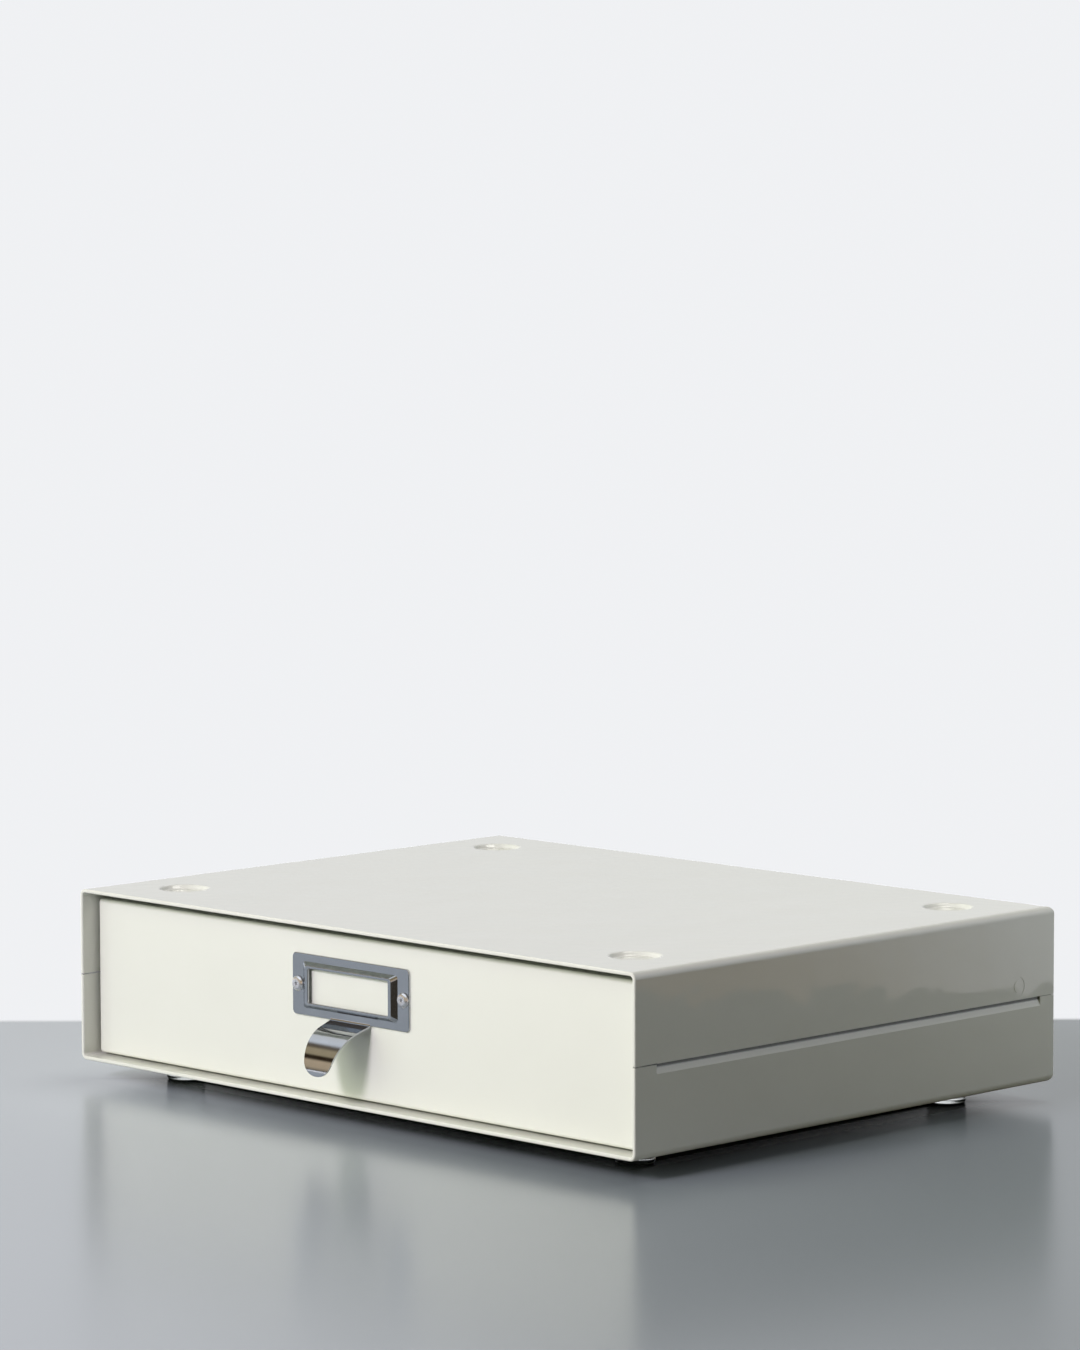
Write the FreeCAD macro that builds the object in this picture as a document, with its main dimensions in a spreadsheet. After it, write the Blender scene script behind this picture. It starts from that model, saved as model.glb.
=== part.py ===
"""Stackable one-drawer document case in enamelled sheet steel.

Every sub-part is drawn in the case's own frame: X to the right, Y backwards from the front lip and
Z up from the case's underside, in millimetres. The Placement then moves it to the part's frame,
whose origin is the bottom centre of the whole object, standing on its feet with its front to -Y.
"""
import FreeCAD
import Part
import Sketcher
import math
import os
import re

SIZES = (
    ("case_width", 330, "overall width"),
    ("case_depth", 250, "front lip to back"),
    ("case_height", 73.5, "underside to top, without the feet"),
    ("sheet", 0.8, "sheet steel of case and drawer"),
    ("bend_radius", 3, "outer radius of the case's folds"),
    ("corner_grind", 0.6, "radius ground on the welded rear corners"),
    ("hem_depth", 12, "folded-back hem around the front opening"),
    ("hem_nose", 0.65, "rounding of the hem's front edges"),
    ("seam_height", 36.7, "top of the lower shell's plain edge"),
    ("seam_gap", 0.2, "open line between the two shells"),
    ("seam_reveal", 1, "strip of the lap that shows under the upper shell's edge"),
    ("joggle_rise", 2.8, "height of the sloping step in the lower shell"),
    ("lap_height", 11, "lap of the lower shell inside the upper one"),
    ("lap_gap", 0.05, "between the lapped sheets"),
    ("corner_land", 9, "plain edge beside each rear corner"),
    ("weld_size", 8, "rim of the weld mark on each side"),
    ("weld_core", 5, "raised middle of a weld mark"),
    ("weld_sink", 0.15, "depth of a weld mark's ring"),
    ("weld_inset", 23.2, "weld mark before the back"),
    ("weld_level", 42.4, "weld mark above the underside"),
    ("seat_edge", 31, "case side to the middle of the seats and feet"),
    ("seat_inset", 32, "front lip or back to the middle of the seats and feet"),
    ("seat_diameter", 21, "rim of a stacking seat"),
    ("seat_floor", 17.8, "flat floor of a stacking seat"),
    ("seat_sink", 1.6, "depth of a stacking seat"),
    ("seat_soft", 1.6, "soft radius of a stacking seat's edges"),
    ("foot_height", 8.5, "clear foot"),
    ("foot_top", 17, "diameter of a foot at the case"),
    ("foot_base", 16, "diameter of a foot at the table"),
    ("foot_soft", 1.4, "rounding of a foot's lower rim"),
    ("drawer_recess", 7.5, "drawer front behind the front lip"),
    ("drawer_side_gap", 1.6, "drawer front to the hem, each side"),
    ("drawer_top_gap", 3.1, "drawer front to the upper hem"),
    ("drawer_bottom_gap", 0.9, "drawer front to the lower hem"),
    ("front_return", 10, "returned edge of the drawer front"),
    ("front_soft", 1.5, "edge radius of the drawer front"),
    ("tray_height", 54, "drawer side"),
    ("tray_fold", 2, "outer radius of the tray's folds"),
    ("tray_hem", 7, "hem along the top of a drawer side"),
    ("tray_lip", 12, "upstand that joins the tray to the front"),
    ("weld_gap", 0.05, "between spot-welded sheets of the drawer"),
    ("back_flange", 10, "flange of the drawer back"),
    ("tab_width", 20, "stop tab on the drawer back"),
    ("tab_rise", 11.5, "stop tab above the drawer back"),
    ("catch_edge", 65, "case side to the middle of a stop catch"),
    ("catch_width", 26, "stop catch"),
    ("catch_sheet", 1, "steel of a stop catch"),
    ("catch_foot", 15, "welded leg of a stop catch"),
    ("catch_drop", 8, "hanging leg of a stop catch"),
    ("catch_fold", 1.6, "outer fold radius of a stop catch"),
    ("stop_gap", 0.2, "drawer to catch or buffer at each end of travel"),
    ("travel", 190, "how far the drawer comes out"),
    ("buffer_diameter", 10, "rubber dot on the back wall"),
    ("buffer_height", 3, "rubber dot on the back wall"),
    ("buffer_soft", 1, "rounding of a rubber dot"),
    ("buffer_edge", 45, "case side to the middle of a rubber dot"),
    ("buffer_level", 22, "rubber dots above the case's underside"),
    ("glide_diameter", 14, "head of a glide button"),
    ("glide_soft", 0.9, "rounding of a glide's head"),
    ("glide_stem", 4, "stem of a glide button"),
    ("glide_barb", 5.2, "barb that holds a glide in its hole"),
    ("glide_tail", 1.6, "length of the barb past the sheet"),
    ("stem_gap", 0.1, "stem to hole, each side"),
    ("running_gap", 0.1, "glide to the sheet that runs on it"),
    ("front_glide_edge", 47, "case side to the middle of a floor glide"),
    ("front_glide_inset", 30, "floor glides behind the front lip"),
    ("rear_glide_edge", 25, "case side to the middle of a tray glide"),
    ("rear_glide_inset", 16, "tray glides before the tray's rear end"),
    ("holder_offset", -2.7, "label holder left of the drawer's middle"),
    ("holder_level", 46.6, "middle of the label holder above the underside"),
    ("holder_width", 69.5, "label holder plate"),
    ("holder_height", 25.6, "label holder plate"),
    ("holder_corner", 2, "corner radius of the plate"),
    ("holder_sheet", 0.8, "steel of the label holder"),
    ("holder_edge", 0.25, "edge radius of the label holder's front"),
    ("frame_rise", 1.6, "raised frame above the plate"),
    ("frame_slope_x", 2.5, "width of the frame's end slopes"),
    ("frame_slope_z", 1.4, "width of the frame's long slopes"),
    ("frame_bar_x", 1.8, "flat end bar beside the window"),
    ("frame_bar_z", 1.1, "flat long bar beside the window"),
    ("frame_corner", 1.4, "corner radius of the raised frame"),
    ("window_width", 47.7, "label window"),
    ("window_height", 14.2, "label window"),
    ("window_corner", 0.6, "corner radius of the window"),
    ("pull_reach", 19, "finger pull before the plate"),
    ("pull_slope", 18, "downward slope where the pull leaves the plate, degrees"),
    ("pull_curve", 18.5, "outer radius of the pull's curve"),
    ("pull_bend", 1, "inner radius of the bend under the plate"),
    ("pull_drop", 19.8, "plate's lower edge to the pull's tip"),
    ("pull_root_width", 23.5, "pull at the plate"),
    ("pull_tip_width", 13, "pull at its tip, before the corners are rounded"),
    ("pull_tip_radius", 7.6, "rounded corners of the pull's tip"),
    ("rivet_pitch", 62.8, "rivets, left to right"),
    ("rivet_head", 6.3, "rivet head diameter"),
    ("rivet_crown", 1.3, "rivet head height"),
    ("rivet_rim", 0.4, "straight rim of the head"),
    ("rivet_soft", 1.5, "rounding between the head's rim and its crown"),
    ("rivet_shank", 3.2, "rivet shank diameter"),
    ("rivet_bulb", 4.8, "set end of the rivet behind the sheet"),
    ("rivet_tail", 3.4, "length of the set end"),
    ("bulb_soft", 1.6, "rounding of the set end"),
    ("rivet_eye", 1.8, "mandrel hole in the head"),
    ("rivet_eye_depth", 0.7, "depth to the broken mandrel"),
    ("rivet_gap", 0.05, "shank to hole, each side"),
)

# Places shared by several sub-parts, as expressions of the sizes above.
HALF = "case_width / 2"
SKIN_IN = "(case_width / 2 - sheet)"
HEM_IN = "(case_width / 2 - 2 * sheet)"
LAP_OUT = "(case_width / 2 - sheet - lap_gap)"
LAP_IN = "(case_width / 2 - 2 * sheet - lap_gap)"
STEP_TOP = "(seam_height - seam_reveal)"
STEP_FOOT = f"({STEP_TOP} - joggle_rise)"
LAP_TOP = "(seam_height + lap_height)"
CEILING = "(case_height - sheet)"
SEAT_X = "(case_width / 2 - seat_edge)"
REAR_SEAT_Y = "(case_depth - seat_inset)"
FRONT_HALF = "(case_width / 2 - 2 * sheet - drawer_side_gap)"
FRONT_LOW = "(2 * sheet + drawer_bottom_gap)"
FRONT_HIGH = "(case_height - 2 * sheet - drawer_top_gap)"
TRAY_HALF = f"({FRONT_HALF} - sheet - weld_gap)"
TRAY_LOW = f"({FRONT_LOW} + sheet + weld_gap)"
TRAY_HIGH = f"({TRAY_LOW} + tray_height)"
TRAY_FRONT = "(drawer_recess + sheet + weld_gap)"
TRAY_REAR = "(case_depth - sheet - buffer_height - stop_gap)"
BACK_HALF = f"({TRAY_HALF} - sheet - weld_gap)"
BACK_LOW = f"({TRAY_LOW} + sheet + weld_gap)"
TAB_HIGH = f"({TRAY_HIGH} + tab_rise)"
CATCH_X = "(case_width / 2 - catch_edge)"
CATCH_REAR = f"({TRAY_REAR} - sheet - travel - stop_gap)"
FLOOR_GLIDE_X = "(case_width / 2 - front_glide_edge)"
TRAY_GLIDE_X = "(case_width / 2 - rear_glide_edge)"
GLIDE_HEAD = f"({TRAY_LOW} - sheet - running_gap)"
PLATE_FACE = "(drawer_recess - holder_sheet)"
PLATE_LOW = "(holder_level - holder_height / 2)"
RIVET_GRIP = "(holder_sheet + sheet)"
PULL_OVERHANG = f"(pull_reach - {PLATE_FACE})"
FRONT_SHIFT = f"(-(case_depth - {PULL_OVERHANG}) / 2)"

ALIASES = {alias for alias, _, _ in SIZES}
SIDES = (("left", -1), ("right", 1))
TINY = 1e-6
SAME = 1e-4

doc = FreeCAD.newDocument("document_case")


def make_sheet():
    """Write the driving sizes into the document's spreadsheet."""
    table = doc.addObject("Spreadsheet::Sheet", "Sizes")
    for row, (alias, size, meaning) in enumerate(SIZES, start=1):
        table.set(f"A{row}", meaning)
        table.set(f"B{row}", str(size))
        table.setAlias(f"B{row}", alias)
    doc.recompute()
    return table


def bound(text):
    """Point every alias in an expression at the spreadsheet."""
    def point(word):
        return "Sizes." + word.group() if word.group() in ALIASES else word.group()

    return re.sub(r"[a-z_]+", point, text)


def number(text):
    """Value of an expression as a plain number."""
    return float(sizes.evalExpression(bound(text)))


def new_body(label):
    """Empty body with its own label."""
    body = doc.addObject("PartDesign::Body", label)
    body.Label = label
    return body


def place(body, x, y, z, turn=None):
    """Put a body at a point of the case's frame, turned if asked."""
    if turn:
        body.Placement = FreeCAD.Placement(FreeCAD.Vector(), turn)
    body.setExpression("Placement.Base.x", bound(x))
    body.setExpression("Placement.Base.y", bound(f"{FRONT_SHIFT} + {y}"))
    body.setExpression("Placement.Base.z", bound(f"foot_height + {z}"))


def new_sketch(body, name, plane, offset="0"):
    """Sketch on an origin plane of its body, moved along the plane's axis by an expression."""
    sketch = body.newObject("Sketcher::SketchObject", name)
    support = next(item for item in body.Origin.OriginFeatures if item.Role == plane)
    sketch.AttachmentSupport = (support, [""])
    sketch.MapMode = "FlatFace"
    if offset != "0":
        sign = "-" if plane == "XZ_Plane" else ""
        sketch.setExpression("AttachmentOffset.Base.z", bound(f"{sign}({offset})"))
    return sketch


def pin(sketch, geometry, point, x, y):
    """Tie a point of the sketch to its place by expressions."""
    for kind, text, axis in (("DistanceX", x, -2), ("DistanceY", y, -1)):
        if abs(number(text)) < TINY:
            sketch.addConstraint(Sketcher.Constraint("PointOnObject", geometry, point, axis))
            continue
        index = sketch.addConstraint(Sketcher.Constraint(kind, -1, 1, geometry, point, number(text)))
        sketch.setExpression(f"Constraints[{index}]", bound(text))


def corner_arc(before, corner, after, radius):
    """Arc that rounds a corner, and whether it runs from the first line to the second."""
    incoming = (before - corner).normalize()
    outgoing = (after - corner).normalize()
    half_angle = incoming.getAngle(outgoing) / 2
    reach = radius / math.tan(half_angle)
    start = corner + incoming * reach
    end = corner + outgoing * reach
    middle = (incoming + outgoing).normalize()
    centre = corner + middle * (radius / math.sin(half_angle))
    turns_left = (corner - before).cross(after - corner).z > 0
    first, last = (start, end) if turns_left else (end, start)
    angles = [math.atan2(point.y - centre.y, point.x - centre.x) for point in (first, last)]
    circle = Part.Circle(centre, FreeCAD.Vector(0, 0, 1), radius)
    return Part.ArcOfCircle(circle, angles[0], angles[1]), start, end, turns_left


def outline(sketch, corners):
    """Closed outline through corners, each (x, y) or (x, y, radius), all given as expressions."""
    points = [FreeCAD.Vector(number(corner[0]), number(corner[1]), 0) for corner in corners]
    count = len(corners)
    arcs = {}
    starts = list(points)
    ends = list(points)
    for i, corner in enumerate(corners):
        if len(corner) == 3:
            after = points[(i + 1) % count]
            arc, ends[i], starts[i], left = corner_arc(points[i - 1], points[i], after, number(corner[2]))
            arcs[i] = (sketch.addGeometry(arc, False), left)
    sides = [Part.LineSegment(starts[i], ends[(i + 1) % count]) for i in range(count)]
    lines = [sketch.addGeometry(side, False) for side in sides]
    for i, corner in enumerate(corners):
        before, after = lines[i - 1], lines[i]
        if i not in arcs:
            sketch.addConstraint(Sketcher.Constraint("Coincident", before, 2, after, 1))
            pin(sketch, after, 1, corner[0], corner[1])
            continue
        arc, left = arcs[i]
        tip = sketch.addGeometry(Part.Point(points[i]), True)
        pin(sketch, tip, 1, corner[0], corner[1])
        sketch.addConstraint(Sketcher.Constraint("PointOnObject", tip, 1, before))
        sketch.addConstraint(Sketcher.Constraint("PointOnObject", tip, 1, after))
        sketch.addConstraint(Sketcher.Constraint("Tangent", before, 2, arc, 1 if left else 2))
        sketch.addConstraint(Sketcher.Constraint("Tangent", after, 1, arc, 2 if left else 1))
        index = sketch.addConstraint(Sketcher.Constraint("Radius", arc, number(corner[2])))
        sketch.setExpression(f"Constraints[{index}]", bound(corner[2]))


def rectangle(sketch, left, right, low, high, radius=None):
    """Closed rectangle between four expressions, with rounded corners if asked."""
    soft = (radius,) if radius else ()
    outline(sketch, [(left, low) + soft, (right, low) + soft, (right, high) + soft, (left, high) + soft])


def circle(sketch, x, y, diameter):
    """Circle at a place, given by expressions."""
    centre = FreeCAD.Vector(number(x), number(y), 0)
    index = sketch.addGeometry(Part.Circle(centre, FreeCAD.Vector(0, 0, 1), number(diameter) / 2), False)
    pin(sketch, index, 3, x, y)
    size = sketch.addConstraint(Sketcher.Constraint("Diameter", index, number(diameter)))
    sketch.setExpression(f"Constraints[{size}]", bound(diameter))


def pad(body, sketch, length, name, reverse=False, kind="PartDesign::Pad"):
    """Pad or pocket of a sketch by an expression."""
    feature = body.newObject(kind, name)
    feature.Profile = sketch
    feature.Reversed = reverse
    feature.setExpression("Length", bound(length))
    doc.recompute()
    return feature


def pocket(body, sketch, length, name, reverse=False):
    """Pocket that has to remove material."""
    before = body.Shape.Volume
    feature = pad(body, sketch, length, name, reverse, "PartDesign::Pocket")
    if feature.Shape.Volume > before - TINY:
        raise RuntimeError(f"{name} cuts nothing")
    return feature


def turned(body, sketch, name, axis="V_Axis"):
    """Full revolution of a sketch."""
    feature = body.newObject("PartDesign::Revolution", name)
    feature.Profile = sketch
    feature.ReferenceAxis = (sketch, [axis])
    feature.Angle = 360
    doc.recompute()
    return feature


def loft(body, sketches, name, kind="PartDesign::AdditiveLoft"):
    """Straight loft between two sketches."""
    feature = body.newObject(kind, name)
    feature.Profile = sketches[0]
    feature.Sections = [(sketches[1], [""])]
    feature.Ruled = True
    doc.recompute()
    return feature


def chosen(elements, kind, test):
    """Names of the edges or faces that a test picks."""
    return [f"{kind}{index}" for index, item in enumerate(elements, start=1) if test(item.BoundBox)]


def fillet(body, feature, radius, name, test):
    """Round the edges that a test on their bounding box picks."""
    names = chosen(feature.Shape.Edges, "Edge", test)
    rounding = body.newObject("PartDesign::Fillet", name)
    rounding.Base = (feature, names)
    rounding.setExpression("Radius", bound(radius))
    doc.recompute()
    return rounding


def hollow(body, feature, wall, name, test):
    """Turn a solid into sheet of a given wall, open at the faces that a test picks."""
    names = chosen(feature.Shape.Faces, "Face", test)
    before = feature.Shape.Volume
    shell = body.newObject("PartDesign::Thickness", name)
    shell.Base = (feature, names)
    shell.Reversed = True
    shell.Join = "Intersection"
    shell.setExpression("Value", bound(wall))
    doc.recompute()
    if shell.Shape.Volume >= before:
        raise RuntimeError(f"{name} did not hollow inwards")
    return shell


def at(value, place_value):
    """Whether two lengths are the same."""
    return abs(value - place_value) < SAME


def flat_at(low, high, place_value):
    """Whether a span lies wholly at one place."""
    return at(low, place_value) and at(high, place_value)


def channel(sketch, outer, inner, cap, level, folds, tip):
    """U-shaped outline: half widths, outer and inner level of its web, fold radii and level of its tips."""
    outline(sketch, [
        (f"-{outer}", tip),
        (f"-{outer}", cap, folds[0]),
        (outer, cap, folds[0]),
        (outer, tip),
        (inner, tip),
        (inner, level, folds[1]),
        (f"-{inner}", level, folds[1]),
        (f"-{inner}", tip),
    ])


def front_hem(body, top, level, tip):
    """Folded-back hem inside the front opening, with a rounded nose."""
    sketch = new_sketch(body, "HemSketch", "XZ_Plane")
    channel(sketch, SKIN_IN, HEM_IN, top, level, ("bend_radius - sheet", "bend_radius - 2 * sheet"), tip)
    hem = pad(body, sketch, "hem_depth", "Hem", reverse=True)
    cut_end = number("sheet")
    return fillet(body, hem, "hem_nose", "HemNose",
                  lambda box: flat_at(box.YMin, box.YMax, 0) and not at(box.DiagonalLength, cut_end))


def folded_box(body, cap, level, tip):
    """Open-fronted box: a cap folded down to two sides and a back, which meet at welded corners."""
    folds = ("bend_radius", "bend_radius - sheet")
    sides = new_sketch(body, "SidesSketch", "XZ_Plane")
    channel(sides, f"({HALF})", SKIN_IN, cap, level, folds, tip)
    pad(body, sides, "case_depth", "Sides", reverse=True)
    back = new_sketch(body, "BackSketch", "YZ_Plane", f"-{HALF}")
    ahead = "(case_depth - 2 * bend_radius)"
    outline(back, [
        (ahead, cap),
        ("case_depth", cap, folds[0]),
        ("case_depth", tip),
        ("case_depth - sheet", tip),
        ("case_depth - sheet", level, folds[1]),
        (ahead, level),
    ])
    pad(body, back, "case_width", "Back")
    beyond = f"(2 * {cap} - {level})"
    rear_trim = new_sketch(body, "RearTrimSketch", "YZ_Plane", HALF)
    outline(rear_trim, [
        (ahead, cap),
        ("case_depth", cap, "bend_radius"),
        ("case_depth", tip),
        ("case_depth + sheet", tip),
        ("case_depth + sheet", beyond),
        (ahead, beyond),
    ])
    pocket(body, rear_trim, "case_width", "RearTrim")
    side_trim = new_sketch(body, "SideTrimSketch", "XZ_Plane")
    for _, sign in SIDES:
        inward = f"{sign} * (case_width / 2 - 2 * bend_radius)"
        outline(side_trim, [
            (inward, cap),
            (f"{sign} * {HALF}", cap, "bend_radius"),
            (f"{sign} * {HALF}", tip),
            (f"{sign} * (case_width / 2 + sheet)", tip),
            (f"{sign} * (case_width / 2 + sheet)", beyond),
            (inward, beyond),
        ])
    return pocket(body, side_trim, "case_depth", "SideTrim")


def grind_corners(body):
    """Small radius along the welded rear corners, left by grinding them flush."""
    half, depth = number(HALF), number("case_depth")

    def is_corner(box):
        upright = at(abs(box.XMin), half) and at(box.XMin, box.XMax)
        return upright and flat_at(box.YMin, box.YMax, depth)

    return fillet(body, body.Tip, "corner_grind", "GroundCorners", is_corner)


def stacking_seat(body, name, x, y):
    """Dished seat pressed into the top sheet at a place."""
    rim_cut = new_sketch(body, f"{name}Cut", "XY_Plane", "case_height")
    circle(rim_cut, x, y, "seat_diameter + 2 * seat_soft")
    pocket(body, rim_cut, "sheet", f"{name}Opening")
    dish = new_sketch(body, f"{name}Sketch", "XZ_Plane", y)
    foot = FreeCAD.Vector(number(x), 0, 0)
    head = foot + FreeCAD.Vector(0, number("case_height"), 0)
    axis = dish.addGeometry(Part.LineSegment(foot, head), True)
    pin(dish, axis, 1, x, "0")
    pin(dish, axis, 2, x, "case_height")
    floor, rim, edge = "seat_floor / 2", "seat_diameter / 2", "seat_diameter / 2 + seat_soft"
    slope = "sheet * tan(atan(seat_sink / ((seat_diameter - seat_floor) / 2)) / 2)"
    top, sunk = "case_height", "case_height - seat_sink"
    outline(dish, [
        (x, sunk),
        (f"{x} + {floor}", sunk, "seat_soft"),
        (f"{x} + {rim}", top, "seat_soft"),
        (f"{x} + {edge}", top),
        (f"{x} + {edge}", f"{top} - sheet"),
        (f"{x} + {rim} - {slope}", f"{top} - sheet", "seat_soft / 2"),
        (f"{x} + {floor} - {slope}", f"{sunk} - sheet", "seat_soft / 2"),
        (x, f"{sunk} - sheet"),
    ])
    return turned(body, dish, f"{name}Dish", "Axis0")


def weld_mark(body, name, sign):
    """Shallow ring that a spot weld leaves on the side, where the two shells lap."""
    ring = new_sketch(body, f"{name}Sketch", "YZ_Plane", f"{sign} * {HALF}")
    for diameter in ("weld_size", "weld_core"):
        circle(ring, "case_depth - weld_inset", "weld_level", diameter)
    return pocket(body, ring, "weld_sink", f"{name}Ring", reverse=sign < 0)


def make_upper_shell():
    """Top, upper sides and upper back, with the stacking seats."""
    body = new_body("upper_shell")
    low = "seam_height + seam_gap"
    folded_box(body, "case_height", CEILING, f"({low})")
    front_hem(body, CEILING, f"({CEILING} - sheet)", f"({low})")
    for side, sign in SIDES:
        for row, y in (("Front", "seat_inset"), ("Rear", REAR_SEAT_Y)):
            stacking_seat(body, f"{row}{side.title()}Seat", f"({sign} * {SEAT_X})", y)
        weld_mark(body, f"{side.title()}Weld", sign)
    grind_corners(body)
    place(body, "0", "0", "0")
    return body


def make_lower_shell():
    """Bottom, lower sides and lower back, joggled to lap inside the upper shell."""
    body = new_body("lower_shell")
    folded_box(body, "0", "sheet", STEP_FOOT)
    lands = new_sketch(body, "LandSketch", "XY_Plane", STEP_FOOT)
    inner_depth = "(case_depth - sheet)"
    land_x, land_y = "(case_width / 2 - corner_land)", "(case_depth - corner_land)"
    for _, sign in SIDES:
        outer, inner = f"({sign} * {HALF})", f"({sign} * {SKIN_IN})"
        rectangle(lands, inner, outer, "0", "hem_depth")
        outline(lands, [
            (outer, land_y),
            (outer, "case_depth"),
            (f"{sign} * {land_x}", "case_depth"),
            (f"{sign} * {land_x}", inner_depth),
            (inner, inner_depth),
            (inner, land_y),
        ])
    pad(body, lands, "joggle_rise + seam_reveal", "Lands")
    laps = new_sketch(body, "SideLapSketch", "XZ_Plane", "hem_depth + seam_gap")
    for _, sign in SIDES:
        outline(laps, [
            (f"{sign} * {HALF}", STEP_FOOT),
            (f"{sign} * {LAP_OUT}", STEP_TOP),
            (f"{sign} * {LAP_OUT}", LAP_TOP),
            (f"{sign} * {LAP_IN}", LAP_TOP),
            (f"{sign} * {LAP_IN}", STEP_TOP),
            (f"{sign} * {SKIN_IN}", STEP_FOOT),
        ])
    pad(body, laps, "case_depth - hem_depth - seam_gap - corner_land", "SideLaps", reverse=True)
    rear = new_sketch(body, "RearLapSketch", "YZ_Plane", f"-{land_x}")
    outline(rear, [
        ("case_depth", STEP_FOOT),
        ("case_depth - sheet - lap_gap", STEP_TOP),
        ("case_depth - sheet - lap_gap", LAP_TOP),
        ("case_depth - 2 * sheet - lap_gap", LAP_TOP),
        ("case_depth - 2 * sheet - lap_gap", STEP_TOP),
        (inner_depth, STEP_FOOT),
    ])
    pad(body, rear, f"2 * {land_x}", "RearLap")
    front_hem(body, "sheet", "2 * sheet", "seam_height")
    holes = new_sketch(body, "GlideHoleSketch", "XY_Plane", "sheet")
    for _, sign in SIDES:
        circle(holes, f"{sign} * {FLOOR_GLIDE_X}", "front_glide_inset", "glide_stem + 2 * stem_gap")
    pocket(body, holes, "sheet", "GlideHoles")
    grind_corners(body)
    place(body, "0", "0", "0")
    return body


def make_drawer_front():
    """Shallow pan with returned edges, which faces the drawer."""
    body = new_body("drawer_front")
    face = new_sketch(body, "FaceSketch", "XZ_Plane", "drawer_recess")
    rectangle(face, f"-{FRONT_HALF}", FRONT_HALF, FRONT_LOW, FRONT_HIGH)
    block = pad(body, face, "front_return", "Block", reverse=True)
    back_plane = number("drawer_recess + front_return")
    fillet(body, block, "front_soft", "Edges", lambda box: not flat_at(box.YMin, box.YMax, back_plane))
    room = new_sketch(body, "RoomSketch", "XZ_Plane", "drawer_recess + front_return")
    side, bottom, top = f"({FRONT_HALF} - sheet)", f"{FRONT_LOW} + sheet", f"{FRONT_HIGH} - sheet"
    rectangle(room, f"-{side}", side, bottom, top)
    hollowed = pocket(body, room, "front_return - sheet", "Room", reverse=True)
    floor_plane = number("drawer_recess + sheet")
    half, low, high = number(side), number(bottom), number(top)

    def is_inner(box):
        upright = at(abs(box.XMin), half) and at(box.XMin, box.XMax)
        level = flat_at(box.ZMin, box.ZMax, low) or flat_at(box.ZMin, box.ZMax, high)
        return (flat_at(box.YMin, box.YMax, floor_plane) and (upright or level)) or (upright and level)

    fillet(body, hollowed, "front_soft - sheet", "InnerFolds", is_inner)
    holes = new_sketch(body, "RivetHoleSketch", "XZ_Plane", "drawer_recess")
    for _, sign in SIDES:
        x = f"holder_offset + {sign} * rivet_pitch / 2"
        circle(holes, x, "holder_level", "rivet_shank + 2 * rivet_gap")
    pocket(body, holes, "2 * sheet", "RivetHoles")
    place(body, "0", "0", "0")
    return body


def make_drawer_tray():
    """Folded bottom and sides of the drawer, with hemmed tops and a low front upstand."""
    body = new_body("drawer_tray")
    plan = new_sketch(body, "PlanSketch", "XY_Plane", TRAY_LOW)
    rectangle(plan, f"-{TRAY_HALF}", TRAY_HALF, TRAY_FRONT, TRAY_REAR)
    block = pad(body, plan, "tray_height", "Block")
    low, high, front, rear = number(TRAY_LOW), number(TRAY_HIGH), number(TRAY_FRONT), number(TRAY_REAR)
    half = number(TRAY_HALF)

    def is_fold(box):
        side = at(abs(box.XMin), half) and at(box.XMin, box.XMax)
        bottom = flat_at(box.ZMin, box.ZMax, low)
        ahead = flat_at(box.YMin, box.YMax, front)
        return (side and bottom) or (side and ahead) or (bottom and ahead)

    rounded = fillet(body, block, "tray_fold", "Folds", is_fold)
    hollow(body, rounded, "sheet", "Sheet",
           lambda box: flat_at(box.YMin, box.YMax, rear) or flat_at(box.ZMin, box.ZMax, high))
    notch = new_sketch(body, "LipSketch", "XZ_Plane", TRAY_FRONT)
    inner = f"({TRAY_HALF} - tray_fold)"
    rectangle(notch, f"-{inner}", inner, f"{TRAY_LOW} + tray_lip", f"{TRAY_HIGH} + sheet")
    pocket(body, notch, "tray_fold", "FrontLip")
    hems = new_sketch(body, "HemSketch", "XZ_Plane", f"{TRAY_FRONT} + tray_fold")
    for _, sign in SIDES:
        outer = f"({sign} * ({TRAY_HALF} - sheet))"
        rectangle(hems, f"{sign} * ({TRAY_HALF} - 2 * sheet)", outer, f"{TRAY_HIGH} - tray_hem", TRAY_HIGH)
    length = f"{TRAY_REAR} - back_flange - {TRAY_FRONT} - tray_fold - weld_gap"
    pad(body, hems, length, "SideHems", reverse=True)
    holes = new_sketch(body, "GlideHoleSketch", "XY_Plane", f"{TRAY_LOW} + sheet")
    for _, sign in SIDES:
        x = f"{sign} * {TRAY_GLIDE_X}"
        circle(holes, x, f"{TRAY_REAR} - rear_glide_inset", "glide_stem + 2 * stem_gap")
    pocket(body, holes, "sheet", "GlideHoles")
    place(body, "0", "0", "0")
    return body


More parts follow.
